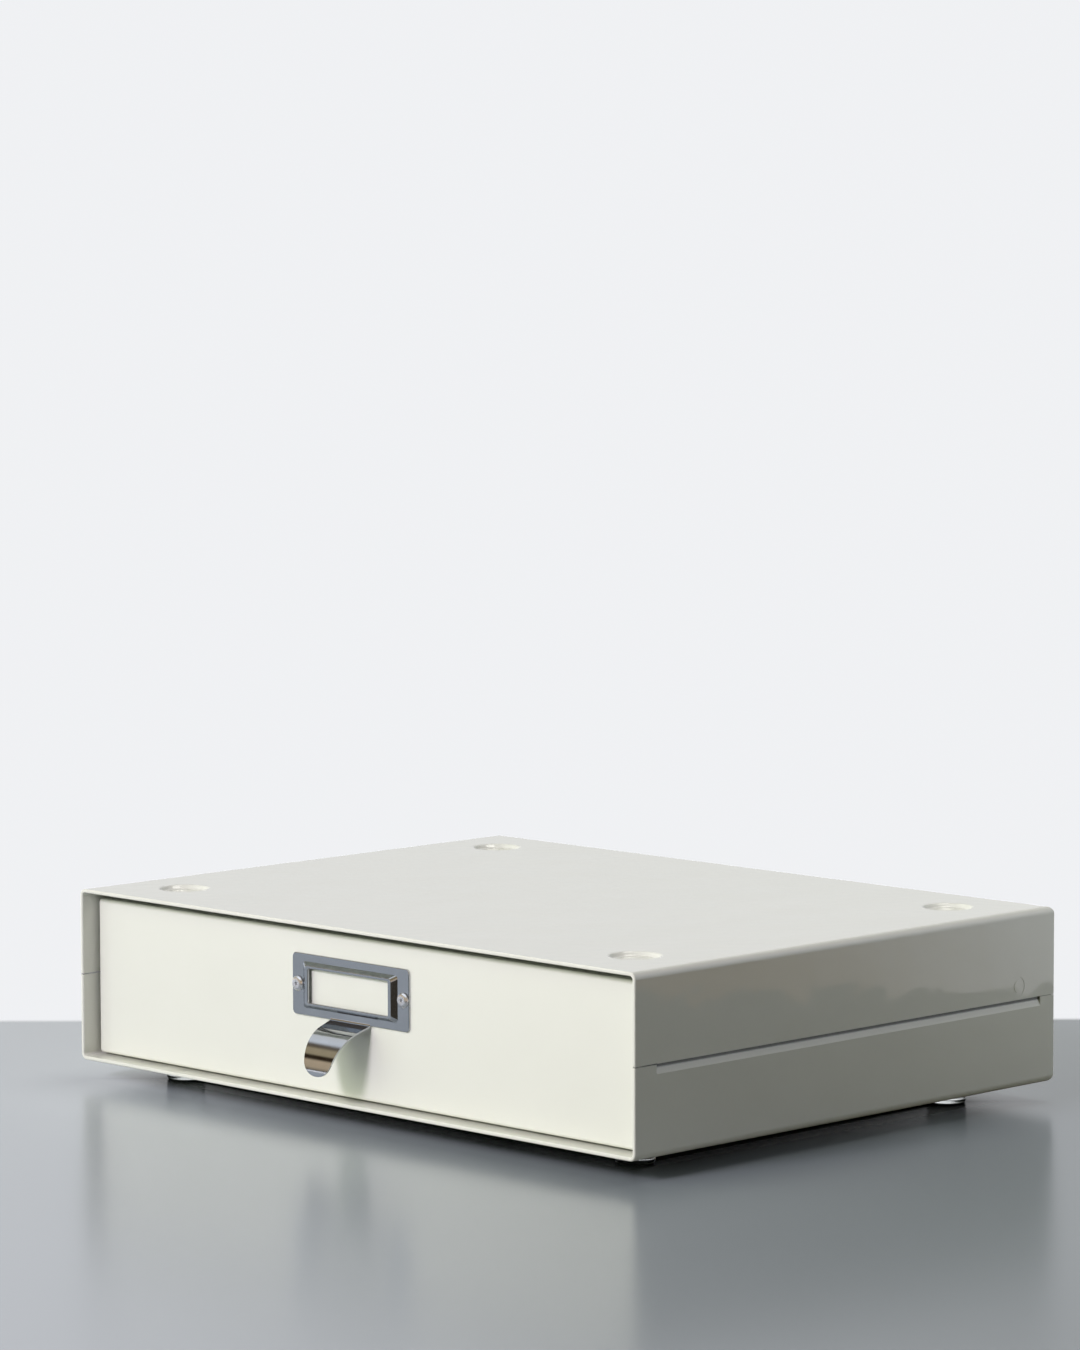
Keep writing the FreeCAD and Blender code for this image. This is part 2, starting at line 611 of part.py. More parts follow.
def make_drawer_back():
    """Back wall of the drawer with forward flanges and two stop tabs."""
    body = new_body("drawer_back")
    plan = new_sketch(body, "PlanSketch", "XY_Plane", BACK_LOW)
    rectangle(plan, f"-{BACK_HALF}", BACK_HALF, f"{TRAY_REAR} - back_flange", TRAY_REAR)
    block = pad(body, plan, f"{TRAY_HIGH} - {BACK_LOW}", "Block")
    low, high, rear = number(BACK_LOW), number(TRAY_HIGH), number(TRAY_REAR)
    half = number(BACK_HALF)
    ahead = number(f"{TRAY_REAR} - back_flange")

    def is_fold(box):
        side = at(abs(box.XMin), half) and at(box.XMin, box.XMax)
        bottom = flat_at(box.ZMin, box.ZMax, low)
        behind = flat_at(box.YMin, box.YMax, rear)
        return (side and bottom) or (side and behind) or (bottom and behind)

    rounded = fillet(body, block, "tray_fold", "Folds", is_fold)
    hollow(body, rounded, "sheet", "Sheet",
           lambda box: flat_at(box.YMin, box.YMax, ahead) or flat_at(box.ZMin, box.ZMax, high))
    tabs = new_sketch(body, "TabSketch", "XZ_Plane", TRAY_REAR)
    for _, sign in SIDES:
        middle = f"{sign} * {CATCH_X}"
        rectangle(tabs, f"{middle} - tab_width / 2", f"{middle} + tab_width / 2", TRAY_HIGH, TAB_HIGH)
    pad(body, tabs, "sheet", "StopTabs")
    place(body, "0", "0", "0")
    return body


def make_stop_catch(side, sign):
    """Angle catch welded under the top, which stops a tab of the drawer back."""
    body = new_body(f"stop_catch_{side}")
    profile = new_sketch(body, "AngleSketch", "YZ_Plane", f"{sign} * {CATCH_X} - catch_width / 2")
    outline(profile, [
        (f"{CATCH_REAR} - catch_foot", CEILING),
        (CATCH_REAR, CEILING, "catch_fold"),
        (CATCH_REAR, f"{CEILING} - catch_drop"),
        (f"{CATCH_REAR} - catch_sheet", f"{CEILING} - catch_drop"),
        (f"{CATCH_REAR} - catch_sheet", f"{CEILING} - catch_sheet", "catch_fold - catch_sheet"),
        (f"{CATCH_REAR} - catch_foot", f"{CEILING} - catch_sheet"),
    ])
    pad(body, profile, "catch_width", "Angle")
    place(body, "0", "0", "0")
    return body


def make_buffer(side, sign):
    """Rubber dot on the back wall, which the closed drawer rests against."""
    body = new_body(f"buffer_{side}")
    profile = new_sketch(body, "DotSketch", "XZ_Plane")
    outline(profile, [
        ("0", "0"),
        ("buffer_diameter / 2", "0"),
        ("buffer_diameter / 2", "buffer_height", "buffer_soft"),
        ("0", "buffer_height"),
    ])
    turned(body, profile, "Dot")
    x = f"{sign} * (case_width / 2 - buffer_edge)"
    place(body, x, "case_depth - sheet", "buffer_level", FACING_FORWARD)
    return body


def make_glide(label, x, y, z, turn=None):
    """Snap-in glide button: domed head on one face of a sheet, barbed stem through it."""
    body = new_body(label)
    profile = new_sketch(body, "GlideSketch", "XZ_Plane")
    outline(profile, [
        ("0", "-sheet - glide_tail"),
        ("glide_stem / 2 - stem_gap", "-sheet - glide_tail"),
        ("glide_barb / 2", "-sheet - stem_gap"),
        ("glide_stem / 2", "-sheet - stem_gap"),
        ("glide_stem / 2", "0"),
        ("glide_diameter / 2", "0"),
        ("glide_diameter / 2", GLIDE_HEAD, "glide_soft"),
        ("0", GLIDE_HEAD),
    ])
    turned(body, profile, "Button")
    place(body, x, y, z, turn)
    return body


def make_foot(row, side, sign, y):
    """Clear foot, slightly tapered, with a rounded lower rim."""
    body = new_body(f"foot_{row}_{side}")
    profile = new_sketch(body, "FootSketch", "XZ_Plane")
    outline(profile, [
        ("0", "0"),
        ("foot_base / 2", "0", "foot_soft"),
        ("foot_top / 2", "foot_height"),
        ("0", "foot_height"),
    ])
    turned(body, profile, "Foot")
    place(body, f"{sign} * {SEAT_X}", y, "-foot_height")
    return body


def tongue(body):
    """Curved finger pull that leaves the plate's lower edge and narrows to a rounded tip."""
    profile = new_sketch(body, "PullSketch", "YZ_Plane", "holder_offset - pull_root_width / 2")
    face, wall = PLATE_FACE, "holder_sheet"
    joint = f"({PLATE_LOW} + 2 * pull_bend)"
    fall = "tan(pull_slope)"
    under = "holder_sheet / cos(pull_slope)"
    far_y = f"({face} - pull_reach)"
    inner_y = f"({far_y} + {wall})"
    tip = f"({PLATE_LOW} - pull_drop)"
    outline(profile, [
        (face, joint),
        (face, PLATE_LOW, "pull_bend"),
        (far_y, f"{PLATE_LOW} - pull_reach * {fall}", "pull_curve"),
        (far_y, tip),
        (inner_y, tip),
        (inner_y, f"{PLATE_LOW} - (pull_reach - {wall}) * {fall} - {under}", f"pull_curve - {wall}"),
        (f"{face} + {wall}", f"{PLATE_LOW} + {wall} * {fall} - {under}", f"pull_bend + {wall}"),
        (f"{face} + {wall}", joint),
    ])
    pad(body, profile, "pull_root_width", "PullBlank")
    trim = new_sketch(body, "PullTrimSketch", "XZ_Plane", f"{far_y} - pull_reach")
    root, end, spare = "pull_root_width / 2", "pull_tip_width / 2", "pull_root_width"
    top = f"({joint} + pull_bend)"
    outline(trim, [
        (f"holder_offset - {spare}", f"{tip} - pull_tip_width"),
        (f"holder_offset + {spare}", f"{tip} - pull_tip_width"),
        (f"holder_offset + {spare}", top),
        (f"holder_offset - {spare}", top),
    ])
    outline(trim, [
        (f"holder_offset - {root}", f"({joint} + {wall})"),
        (f"holder_offset - {root}", PLATE_LOW),
        (f"holder_offset - {end}", tip, "pull_tip_radius"),
        (f"holder_offset + {end}", tip, "pull_tip_radius"),
        (f"holder_offset + {root}", PLATE_LOW),
        (f"holder_offset + {root}", f"({joint} + {wall})"),
    ])
    return pocket(body, trim, "3 * pull_reach", "PullTrim")


def make_label_holder():
    """Pressed label holder: plate, raised window frame and finger pull in one sheet."""
    body = new_body("label_holder")
    tongue(body)
    plate = new_sketch(body, "PlateSketch", "XZ_Plane", PLATE_FACE)
    x, z = "holder_offset", "holder_level"
    rectangle(plate, f"{x} - holder_width / 2", f"{x} + holder_width / 2",
              f"{z} - holder_height / 2", f"{z} + holder_height / 2", "holder_corner")
    pad(body, plate, "holder_sheet", "Plate", reverse=True)
    flat_x, flat_z = "(window_width / 2 + frame_bar_x)", "(window_height / 2 + frame_bar_z)"
    step_x = "holder_sheet * tan(atan(frame_rise / frame_slope_x) / 2)"
    step_z = "holder_sheet * tan(atan(frame_rise / frame_slope_z) / 2)"
    levels = {
        "FrameFoot": (PLATE_FACE, f"({flat_x} + frame_slope_x)", f"({flat_z} + frame_slope_z)"),
        "FrameFace": (f"{PLATE_FACE} - frame_rise", flat_x, flat_z),
        "PocketMouth": (f"{PLATE_FACE} + holder_sheet", f"({flat_x} + frame_slope_x - {step_x})",
                        f"({flat_z} + frame_slope_z - {step_z})"),
        "PocketFloor": (f"{PLATE_FACE} + holder_sheet - frame_rise", f"({flat_x} - {step_x})",
                        f"({flat_z} - {step_z})"),
    }
    sections = {}
    for name, (depth, half_x, half_z) in levels.items():
        sections[name] = new_sketch(body, f"{name}Sketch", "XZ_Plane", depth)
        rectangle(sections[name], f"{x} - {half_x}", f"{x} + {half_x}", f"{z} - {half_z}", f"{z} + {half_z}",
                  "frame_corner")
    loft(body, [sections["FrameFoot"], sections["FrameFace"]], "RaisedFrame")
    mouth, floor = sections["PocketMouth"], sections["PocketFloor"]
    loft(body, [mouth, floor], "CardPocket", "PartDesign::SubtractiveLoft")
    window = new_sketch(body, "WindowSketch", "XZ_Plane", f"{PLATE_FACE} - frame_rise")
    rectangle(window, f"{x} - window_width / 2", f"{x} + window_width / 2",
              f"{z} - window_height / 2", f"{z} + window_height / 2", "window_corner")
    pocket(body, window, "holder_sheet", "Window")
    holes = new_sketch(body, "RivetHoleSketch", "XZ_Plane", PLATE_FACE)
    for _, sign in SIDES:
        circle(holes, f"{x} + {sign} * rivet_pitch / 2", z, "rivet_shank + 2 * rivet_gap")
    pierced = pocket(body, holes, "holder_sheet", "RivetHoles")
    face, raised = number(PLATE_FACE), number(f"{PLATE_FACE} - frame_rise")
    middle, high = number(x), number(f"{z} + holder_height / 2")
    half, corner = number("holder_width / 2"), number("holder_corner")

    def is_front_edge(box):
        at_end = max(abs(box.XMin - middle), abs(box.XMax - middle)) > half - corner / 2
        on_plate = flat_at(box.YMin, box.YMax, face) and (at_end or box.ZMax > high - corner)
        return on_plate or flat_at(box.YMin, box.YMax, raised)

    fillet(body, pierced, "holder_edge", "FrontEdges", is_front_edge)
    place(body, "0", "0", "0")
    return body


def make_rivet(side, sign):
    """Blind rivet: domed head with a mandrel eye, shank through both sheets, set bulb behind."""
    body = new_body(f"rivet_{side}")
    profile = new_sketch(body, "RivetSketch", "XZ_Plane")
    head, crown = "rivet_head / 2", "rivet_crown"
    outline(profile, [
        ("0", f"-{RIVET_GRIP} - rivet_tail"),
        ("rivet_bulb / 2", f"-{RIVET_GRIP} - rivet_tail", "bulb_soft"),
        ("rivet_bulb / 2", f"-{RIVET_GRIP}"),
        ("rivet_shank / 2", f"-{RIVET_GRIP}"),
        ("rivet_shank / 2", "0"),
        (head, "0"),
        (head, "rivet_rim"),
        (f"({head} + rivet_eye / 2) / 2 + rivet_rim", crown, "rivet_soft"),
        ("rivet_eye / 2", crown),
        ("rivet_eye / 2", f"{crown} - rivet_eye_depth"),
        ("0", f"{crown} - rivet_eye_depth"),
    ])
    turned(body, profile, "Rivet")
    place(body, f"holder_offset + {sign} * rivet_pitch / 2", PLATE_FACE, "holder_level", FACING_FORWARD)
    return body


def check(items):
    """Stop if any object failed or any sub-part is not a valid solid."""
    for item in doc.Objects:
        if {"Invalid", "Error"} & set(item.State):
            raise RuntimeError(f"{item.Label} of {item.FullName} failed: {item.State}")
    for body in items:
        if body.Shape.isNull() or not body.Shape.isValid() or not body.Shape.Solids:
            raise RuntimeError(f"{body.Label} is not a valid solid")


FACING_FORWARD = FreeCAD.Rotation(FreeCAD.Vector(1, 0, 0), 90)
UPSIDE_DOWN = FreeCAD.Rotation(FreeCAD.Vector(1, 0, 0), 180)

sizes = make_sheet()
subparts = [
    make_upper_shell(),
    make_lower_shell(),
    make_drawer_front(),
    make_drawer_tray(),
    make_drawer_back(),
    make_label_holder(),
]
for side, sign in SIDES:
    front_x, rear_x = f"{sign} * {FLOOR_GLIDE_X}", f"{sign} * {TRAY_GLIDE_X}"
    rear_y = f"{TRAY_REAR} - rear_glide_inset"
    subparts.append(make_glide(f"glide_front_{side}", front_x, "front_glide_inset", "sheet"))
    subparts.append(make_glide(f"glide_rear_{side}", rear_x, rear_y, TRAY_LOW, UPSIDE_DOWN))
    subparts.append(make_stop_catch(side, sign))
    subparts.append(make_buffer(side, sign))
    subparts.append(make_rivet(side, sign))
    subparts.append(make_foot("front", side, sign, "seat_inset"))
    subparts.append(make_foot("rear", side, sign, REAR_SEAT_Y))

doc.recompute()
check(subparts)
os.makedirs("parts", exist_ok=True)
for body in subparts:
    body.Shape.exportStep(os.path.join("parts", f"{body.Label}.step"))
    print(f"{body.Label:20s} {len(body.Shape.Solids)} solid, {body.Shape.Volume:10.1f} mm3")
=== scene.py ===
"""Finishes, small fittings, studio and camera for a stackable document drawer.

The sheet-metal parts keep their own solids and get their enamel or plating here. What repeats, the
feet, rivets, glides and buffers, is turned from a profile and set out by one Geometry Nodes tree.
Lengths are in metres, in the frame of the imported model: X to the right, Y to the back, Z up.
"""

import logging
import math
from collections.abc import Callable, Sequence
from dataclasses import dataclass, field
from enum import Enum

import bpy
from mathutils import Euler, Matrix, Vector


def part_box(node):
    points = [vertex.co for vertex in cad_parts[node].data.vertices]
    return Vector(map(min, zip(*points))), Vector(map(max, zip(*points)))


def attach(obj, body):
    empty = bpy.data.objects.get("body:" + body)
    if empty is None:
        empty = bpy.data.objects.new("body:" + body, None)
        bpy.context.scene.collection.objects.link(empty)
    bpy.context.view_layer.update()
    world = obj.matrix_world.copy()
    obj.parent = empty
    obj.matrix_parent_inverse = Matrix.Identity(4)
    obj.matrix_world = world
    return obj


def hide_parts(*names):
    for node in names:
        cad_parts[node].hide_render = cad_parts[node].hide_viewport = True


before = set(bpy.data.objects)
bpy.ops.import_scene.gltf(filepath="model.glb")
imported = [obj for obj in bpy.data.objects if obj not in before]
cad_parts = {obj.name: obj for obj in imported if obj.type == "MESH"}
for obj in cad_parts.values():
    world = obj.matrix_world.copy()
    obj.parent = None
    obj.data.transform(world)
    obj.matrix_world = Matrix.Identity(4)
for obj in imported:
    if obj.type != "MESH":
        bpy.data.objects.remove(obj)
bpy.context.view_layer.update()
MM = 0.001
SIDES = ("left", "right")
LOG = logging.getLogger("document_drawer")

Colour = tuple[float, float, float]
Place = tuple[float, float, float]


class Body(Enum):
    """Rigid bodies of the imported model."""

    CASE = "case"
    DRAWER = "drawer"


class Finish(Enum):
    """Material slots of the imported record."""

    ENAMEL = "enamel"
    PLATING = "holder_plating"
    RIVET = "rivet_metal"
    FOOT = "clear_foot"
    RUBBER = "buffer_rubber"
    NYLON = "nylon"


# --------------------------------------------------------------------------------------------------
# Node helpers
# --------------------------------------------------------------------------------------------------


class NodeBoard:
    """Places and wires the nodes of one tree."""

    COLUMN_WIDTH = 220
    ROW_HEIGHT = 260
    ROWS = 4

    def __init__(self, tree: bpy.types.NodeTree) -> None:
        """Take the tree to work on.

        Args:
            tree: A shader or geometry node tree.
        """
        self.tree = tree
        self.count = 0

    def add(
        self, kind: str, inputs: dict[str | int, object] | None = None, **settings: object
    ) -> bpy.types.Node:
        """Add a node, set its properties and set or wire its inputs.

        Args:
            kind: The node's type name.
            inputs: Input name or index to a plain value or to another node's output socket.
            settings: Properties of the node itself.

        Returns:
            The new node.
        """
        node = self.tree.nodes.new(kind)
        column, row = divmod(self.count, self.ROWS)
        node.location = (self.COLUMN_WIDTH * column, -self.ROW_HEIGHT * row)
        self.count += 1
        for name, value in settings.items():
            setattr(node, name, value)
        for name, value in (inputs or {}).items():
            if isinstance(value, bpy.types.NodeSocket):
                self.tree.links.new(value, node.inputs[name])
            else:
                node.inputs[name].default_value = value
        return node

    def maths(self, operation: str, *values: object) -> bpy.types.NodeSocket:
        """Add a Math node.

        Args:
            operation: The operation's name, such as MULTIPLY.
            values: Plain numbers or sockets, in order.

        Returns:
            Its output socket.
        """
        return self.add("ShaderNodeMath", dict(enumerate(values)), operation=operation).outputs[0]

    def along(self, vector: bpy.types.NodeSocket, heading: Place) -> bpy.types.NodeSocket:
        """How far a vector goes along a heading."""
        product = self.add("ShaderNodeVectorMath", {0: vector, 1: heading}, operation="DOT_PRODUCT")
        return product.outputs["Value"]

    def ramp(
        self,
        value: object,
        start: object,
        end: object,
        span: tuple[float, float] = (0.0, 1.0),
        smooth: bool = True,
    ) -> bpy.types.NodeSocket:
        """Turn a range of a value into another range, level outside it.

        Args:
            value: Socket of the value.
            start: Value, or its socket, at which the result starts to change.
            end: Value, or its socket, at which the result has changed.
            span: Result at the start and at the end.
            smooth: Whether the change eases in and out.

        Returns:
            The result's socket.
        """
        inputs = {
            "Value": value,
            "From Min": start,
            "From Max": end,
            "To Min": span[0],
            "To Max": span[1],
        }
        kind = "SMOOTHSTEP" if smooth else "LINEAR"
        return self.add("ShaderNodeMapRange", inputs, interpolation_type=kind).outputs[0]

    def blend(self, factor: object, low: object, high: object) -> bpy.types.NodeSocket:
        """Mix two colours.

        Args:
            factor: Share of the second colour, a number or a socket.
            low: First colour.
            high: Second colour.

        Returns:
            The mixed colour's socket.
        """
        mix = self.add("ShaderNodeMix", {0: factor, 6: low, 7: high}, data_type="RGBA")
        return mix.outputs[2]

    def choose(
        self, mask: bpy.types.NodeSocket, low: bpy.types.Node, high: bpy.types.Node
    ) -> bpy.types.Node:
        """Mix two shaders, the first where the mask is 0 and the second where it is 1."""
        return self.add("ShaderNodeMixShader", {0: mask, 1: low.outputs[0], 2: high.outputs[0]})


def rgba(colour: Colour) -> tuple[float, float, float, float]:
    """A colour with full alpha."""
    return (*colour, 1.0)


def shader_group(
    name: str,
    inputs: dict[str, float],
    output: str,
    build: Callable[[NodeBoard, bpy.types.Node], bpy.types.NodeSocket],
) -> bpy.types.NodeTree:
    """Make a shader node group with a vector input, named number inputs and one value output.

    Args:
        name: The group's name.
        inputs: Input names and their defaults.
        output: The output's name.
        build: Adds the nodes between the group's input node and the socket it returns.

    Returns:
        The group.
    """
    if name in bpy.data.node_groups:
        return bpy.data.node_groups[name]
    group = bpy.data.node_groups.new(name, "ShaderNodeTree")
    group.interface.new_socket("Vector", in_out="INPUT", socket_type="NodeSocketVector")
    for label, value in inputs.items():
        socket = group.interface.new_socket(label, in_out="INPUT", socket_type="NodeSocketFloat")
        socket.default_value = value
    group.interface.new_socket(output, in_out="OUTPUT", socket_type="NodeSocketFloat")
    board = NodeBoard(group)
    entry = board.add("NodeGroupInput")
    result = build(board, entry)
    board.add("NodeGroupOutput", {output: result})
    return group


def sprayed_skin() -> bpy.types.NodeTree:
    """Group for the height of a sprayed and baked coat: orange peel over slightly wavy sheet."""

    def build(board: NodeBoard, entry: bpy.types.Node) -> bpy.types.NodeSocket:
        """Add peel and waves of given size and depth."""
        sizes = entry.outputs
        peel = board.add(
            "ShaderNodeTexNoise",
            {"Vector": sizes["Vector"], "Scale": sizes["Peel scale"], "Detail": 1.0},
        )
        wave = board.add(
            "ShaderNodeTexNoise",
            {"Vector": sizes["Vector"], "Scale": sizes["Wave scale"], "Detail": 2.0},
        )
        fine = board.maths("MULTIPLY", peel.outputs[0], sizes["Peel depth"])
        broad = board.maths("MULTIPLY", wave.outputs[0], sizes["Wave depth"])
        return board.maths("ADD", fine, broad)

    sizes = {"Peel scale": 700.0, "Peel depth": 1.0, "Wave scale": 40.0, "Wave depth": 1.0}
    return shader_group("sprayed_skin", sizes, "Height", build)


# Noise values that the mask stretches to 0 and 1.
CLOUD_EDGES = (0.3, 0.7)


def cloudy_mask() -> bpy.types.NodeTree:
    """Group for a soft, cloudy mask from 0 to 1, such as handling haze or uneven colour."""

    def build(board: NodeBoard, entry: bpy.types.Node) -> bpy.types.NodeSocket:
        """Stretch a soft noise to the full range."""
        noise = board.add(
            "ShaderNodeTexNoise",
            {
                "Vector": entry.outputs["Vector"],
                "Scale": entry.outputs["Scale"],
                "Detail": 3.0,
                "Roughness": 0.6,
            },
        )
        return board.ramp(noise.outputs[0], *CLOUD_EDGES)

    return shader_group("cloudy_mask", {"Scale": 12.0}, "Mask", build)


# Scale that draws the noise out along X.
GRAIN_STRETCH = (0.04, 1.0, 1.0)


def drawn_grain() -> bpy.types.NodeTree:
    """Group for the height of fine polishing lines that run along X."""

    def build(board: NodeBoard, entry: bpy.types.Node) -> bpy.types.NodeSocket:
        """Draw a noise out along the grain."""
        stretched = board.add(
            "ShaderNodeMapping", {"Vector": entry.outputs["Vector"], "Scale": GRAIN_STRETCH}
        )
        lines = board.add(
            "ShaderNodeTexNoise",
            {"Vector": stretched.outputs[0], "Scale": entry.outputs["Scale"], "Detail": 2.0},
        )
        return lines.outputs[0]

    return shader_group("drawn_grain", {"Scale": 4000.0}, "Height", build)


LAP_SIZES = {
    "Half width": 0.16415,
    "Front": -0.1065,
    "Rear": 0.1303,
    "Level": 0.0447,
    "Reach": 1.1e-3,
    "Hem": -1.2e-3,
    "Seam": 0.0453,
}
# Distances from the faces, the level and the seam at which the shade has ended and is full. The
# strip ends at Reach.
FACE_EDGES = (0.4e-3, 0.3e-3)
STRIP_FULL = 0.6e-3
SEAM_EDGES = (0.35e-3, 0.15e-3)


def lap_shade() -> bpy.types.NodeTree:
    """Group for the mask of the painted shade where the upper shell laps the lower one.

    Behind Front it is a strip on the sides and the back, which lie at Half width and Rear, as far
    as Reach above and below Level. Ahead of Front, on the hem, it is a hairline at Seam.
    """

    def build(board: NodeBoard, entry: bpy.types.Node) -> bpy.types.NodeSocket:
        """Join the strip and the hairline."""
        sizes = entry.outputs
        place = board.add("ShaderNodeSeparateXYZ", {0: sizes["Vector"]}).outputs
        across = board.maths("SUBTRACT", board.maths("ABSOLUTE", place["X"]), sizes["Half width"])
        behind = board.maths("SUBTRACT", place["Y"], sizes["Rear"])
        off_face = board.maths("ABSOLUTE", board.maths("MAXIMUM", across, behind))
        off_level = board.maths("ABSOLUTE", board.maths("SUBTRACT", place["Z"], sizes["Level"]))
        on_face = board.ramp(off_face, *FACE_EDGES, smooth=False)
        at_level = board.ramp(off_level, sizes["Reach"], STRIP_FULL, smooth=False)
        ahead = board.maths("LESS_THAN", place["Y"], sizes["Front"])
        strip = board.maths("MULTIPLY", on_face, at_level)
        strip = board.maths("MULTIPLY", strip, board.maths("SUBTRACT", 1.0, ahead))
        on_hem = board.maths("MULTIPLY", ahead, board.maths("GREATER_THAN", across, sizes["Hem"]))
        off_seam = board.maths("ABSOLUTE", board.maths("SUBTRACT", place["Z"], sizes["Seam"]))
        at_seam = board.ramp(off_seam, *SEAM_EDGES, smooth=False)
        return board.maths("MAXIMUM", strip, board.maths("MULTIPLY", on_hem, at_seam))

    return shader_group("lap_shade", LAP_SIZES, "Mask", build)


# --------------------------------------------------------------------------------------------------
# Finishes
# --------------------------------------------------------------------------------------------------


@dataclass(frozen=True)
class SurfaceFinish:
    """One procedural finish, with its plain look and how its relief and clouding are set."""

    slot: Finish
    colour: Colour
    shade: Colour
    gloss_low: float
    gloss_high: float
    cloud_scale: float
    peel_scale: float
    peel_depth: float
    wave_scale: float
    wave_depth: float
    metallic: float = 0.0
    ior: float = 1.5
    transmission: float = 0.0
    grain_scale: float = 4000.0
    grain_depth: float = 0.0
    # Colour of the painted shade in the lap between the shells and along their seam, where the
    # finish has it.
    lap_painted_shade: Colour | None = None

    def build(self) -> bpy.types.Material:
        """Make the material.

        Returns:
            The material, named after its slot.
        """
        material = bpy.data.materials.new(f"{self.slot.value}_finish")
        material.use_nodes = True
        material.node_tree.nodes.clear()
        board = NodeBoard(material.node_tree)
        place = board.add("ShaderNodeTexCoord").outputs["Object"]
        cloud = board.add(
            "ShaderNodeGroup", {"Vector": place, "Scale": self.cloud_scale}, node_tree=cloudy_mask()
        )
        mask = cloud.outputs["Mask"]
        colour = board.blend(mask, rgba(self.colour), rgba(self.shade))
        # Painted shade: darken the colour in the lap between the shells and along their seam.
        if self.lap_painted_shade:
            shaded = board.add("ShaderNodeGroup", {"Vector": place}, node_tree=lap_shade())
            colour = board.blend(shaded.outputs["Mask"], colour, rgba(self.lap_painted_shade))
        height = self.relief(board, place)
        bump = board.add("ShaderNodeBump", {"Strength": 1.0, "Distance": 1.0, "Height": height})
        gloss = (self.gloss_low, self.gloss_high)
        shader = board.add(
            "ShaderNodeBsdfPrincipled",
            {
                "Base Color": colour,
                "Roughness": board.ramp(mask, 0.0, 1.0, gloss, smooth=False),
                "Metallic": self.metallic,
                "IOR": self.ior,
                "Transmission Weight": self.transmission,
                "Normal": bump.outputs[0],
            },
        )
        board.add("ShaderNodeOutputMaterial", {"Surface": shader.outputs[0]})
        return material

    def relief(self, board: NodeBoard, place: bpy.types.NodeSocket) -> bpy.types.NodeSocket:
        """Add the skin's height, and that of the polishing lines where the finish has them.

        Args:
            board: The material's board.
            place: Socket of the coordinates.

        Returns:
            The height's socket.
        """
        skin = board.add(
            "ShaderNodeGroup",
            {
                "Vector": place,
                "Peel scale": self.peel_scale,
                "Peel depth": self.peel_depth,
                "Wave scale": self.wave_scale,
                "Wave depth": self.wave_depth,
            },
            node_tree=sprayed_skin(),
        )
        height = skin.outputs["Height"]
        if not self.grain_depth:
            return height
        grain = board.add(
            "ShaderNodeGroup", {"Vector": place, "Scale": self.grain_scale}, node_tree=drawn_grain()
        )
        lines = board.maths("MULTIPLY", grain.outputs["Height"], self.grain_depth)
        return board.maths("ADD", height, lines)


FINISHES = (
    SurfaceFinish(
        Finish.ENAMEL,
        colour=(0.800, 0.808, 0.733),
        shade=(0.785, 0.795, 0.718),
        gloss_low=0.02,
        gloss_high=0.045,
        ior=1.58,
        cloud_scale=9.0,
        peel_scale=800.0,
        peel_depth=3.0e-6,
        wave_scale=40.0,
        wave_depth=3.5e-4,
        # Painted shade in the lap and along the seam between the shells.
        lap_painted_shade=(0.12, 0.12, 0.10),
    ),
    SurfaceFinish(
        Finish.PLATING,
        colour=(0.52, 0.54, 0.56),
        shade=(0.48, 0.50, 0.52),
        gloss_low=0.06,
        gloss_high=0.11,
        metallic=1.0,
        cloud_scale=60.0,
        peel_scale=400.0,
        peel_depth=1.0e-6,
        wave_scale=90.0,
        wave_depth=1.2e-5,
        grain_depth=3.0e-7,
    ),
    SurfaceFinish(
        Finish.RIVET,
        colour=(0.88, 0.88, 0.91),
        shade=(0.80, 0.80, 0.84),
        gloss_low=0.26,
        gloss_high=0.34,
        metallic=1.0,
        cloud_scale=400.0,
        peel_scale=2500.0,
        peel_depth=1.5e-7,
        wave_scale=500.0,
        wave_depth=4.0e-7,
    ),
    SurfaceFinish(
        Finish.FOOT,
        colour=(0.90, 0.92, 0.90),
        shade=(0.86, 0.88, 0.86),
        gloss_low=0.05,
        gloss_high=0.12,
        ior=1.49,
        transmission=1.0,
        cloud_scale=80.0,
        peel_scale=500.0,
        peel_depth=1.0e-6,
        wave_scale=120.0,
        wave_depth=1.0e-5,
    ),
    SurfaceFinish(
        Finish.RUBBER,
        colour=(0.030, 0.030, 0.031),
        shade=(0.045, 0.044, 0.043),
        gloss_low=0.55,
        gloss_high=0.75,
        cloud_scale=200.0,
        peel_scale=3000.0,
        peel_depth=1.0e-5,
        wave_scale=300.0,
        wave_depth=1.0e-5,
    ),
    SurfaceFinish(
        Finish.NYLON,
        colour=(0.80, 0.79, 0.74),
        shade=(0.74, 0.73, 0.67),
        gloss_low=0.35,
        gloss_high=0.50,
        cloud_scale=150.0,
        peel_scale=1500.0,
        peel_depth=4.0e-6,
        wave_scale=200.0,
        wave_depth=8.0e-6,
    ),
)


class PaintShop:
    """Makes each finish once and puts it on nodes and pieces."""

    def __init__(self) -> None:
        """Build every finish."""
        self.materials = {finish.slot: finish.build() for finish in FINISHES}

    def coat(self, node: str, finish: Finish) -> None:
        """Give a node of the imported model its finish.

        Args:
            node: The node's name.
            finish: The finish it gets.
        """
        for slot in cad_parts[node].material_slots:
            slot.material = self.materials[finish]
        LOG.info("%s keeps its solid, finished in %s", node, finish.value)


# --------------------------------------------------------------------------------------------------
# Turned pieces, set out in rows
# --------------------------------------------------------------------------------------------------


@dataclass(frozen=True)
class Corner:
    """Corner of a turned profile, rounded if it has a radius."""

    radius: float
    height: float
    soft: float = 0.0


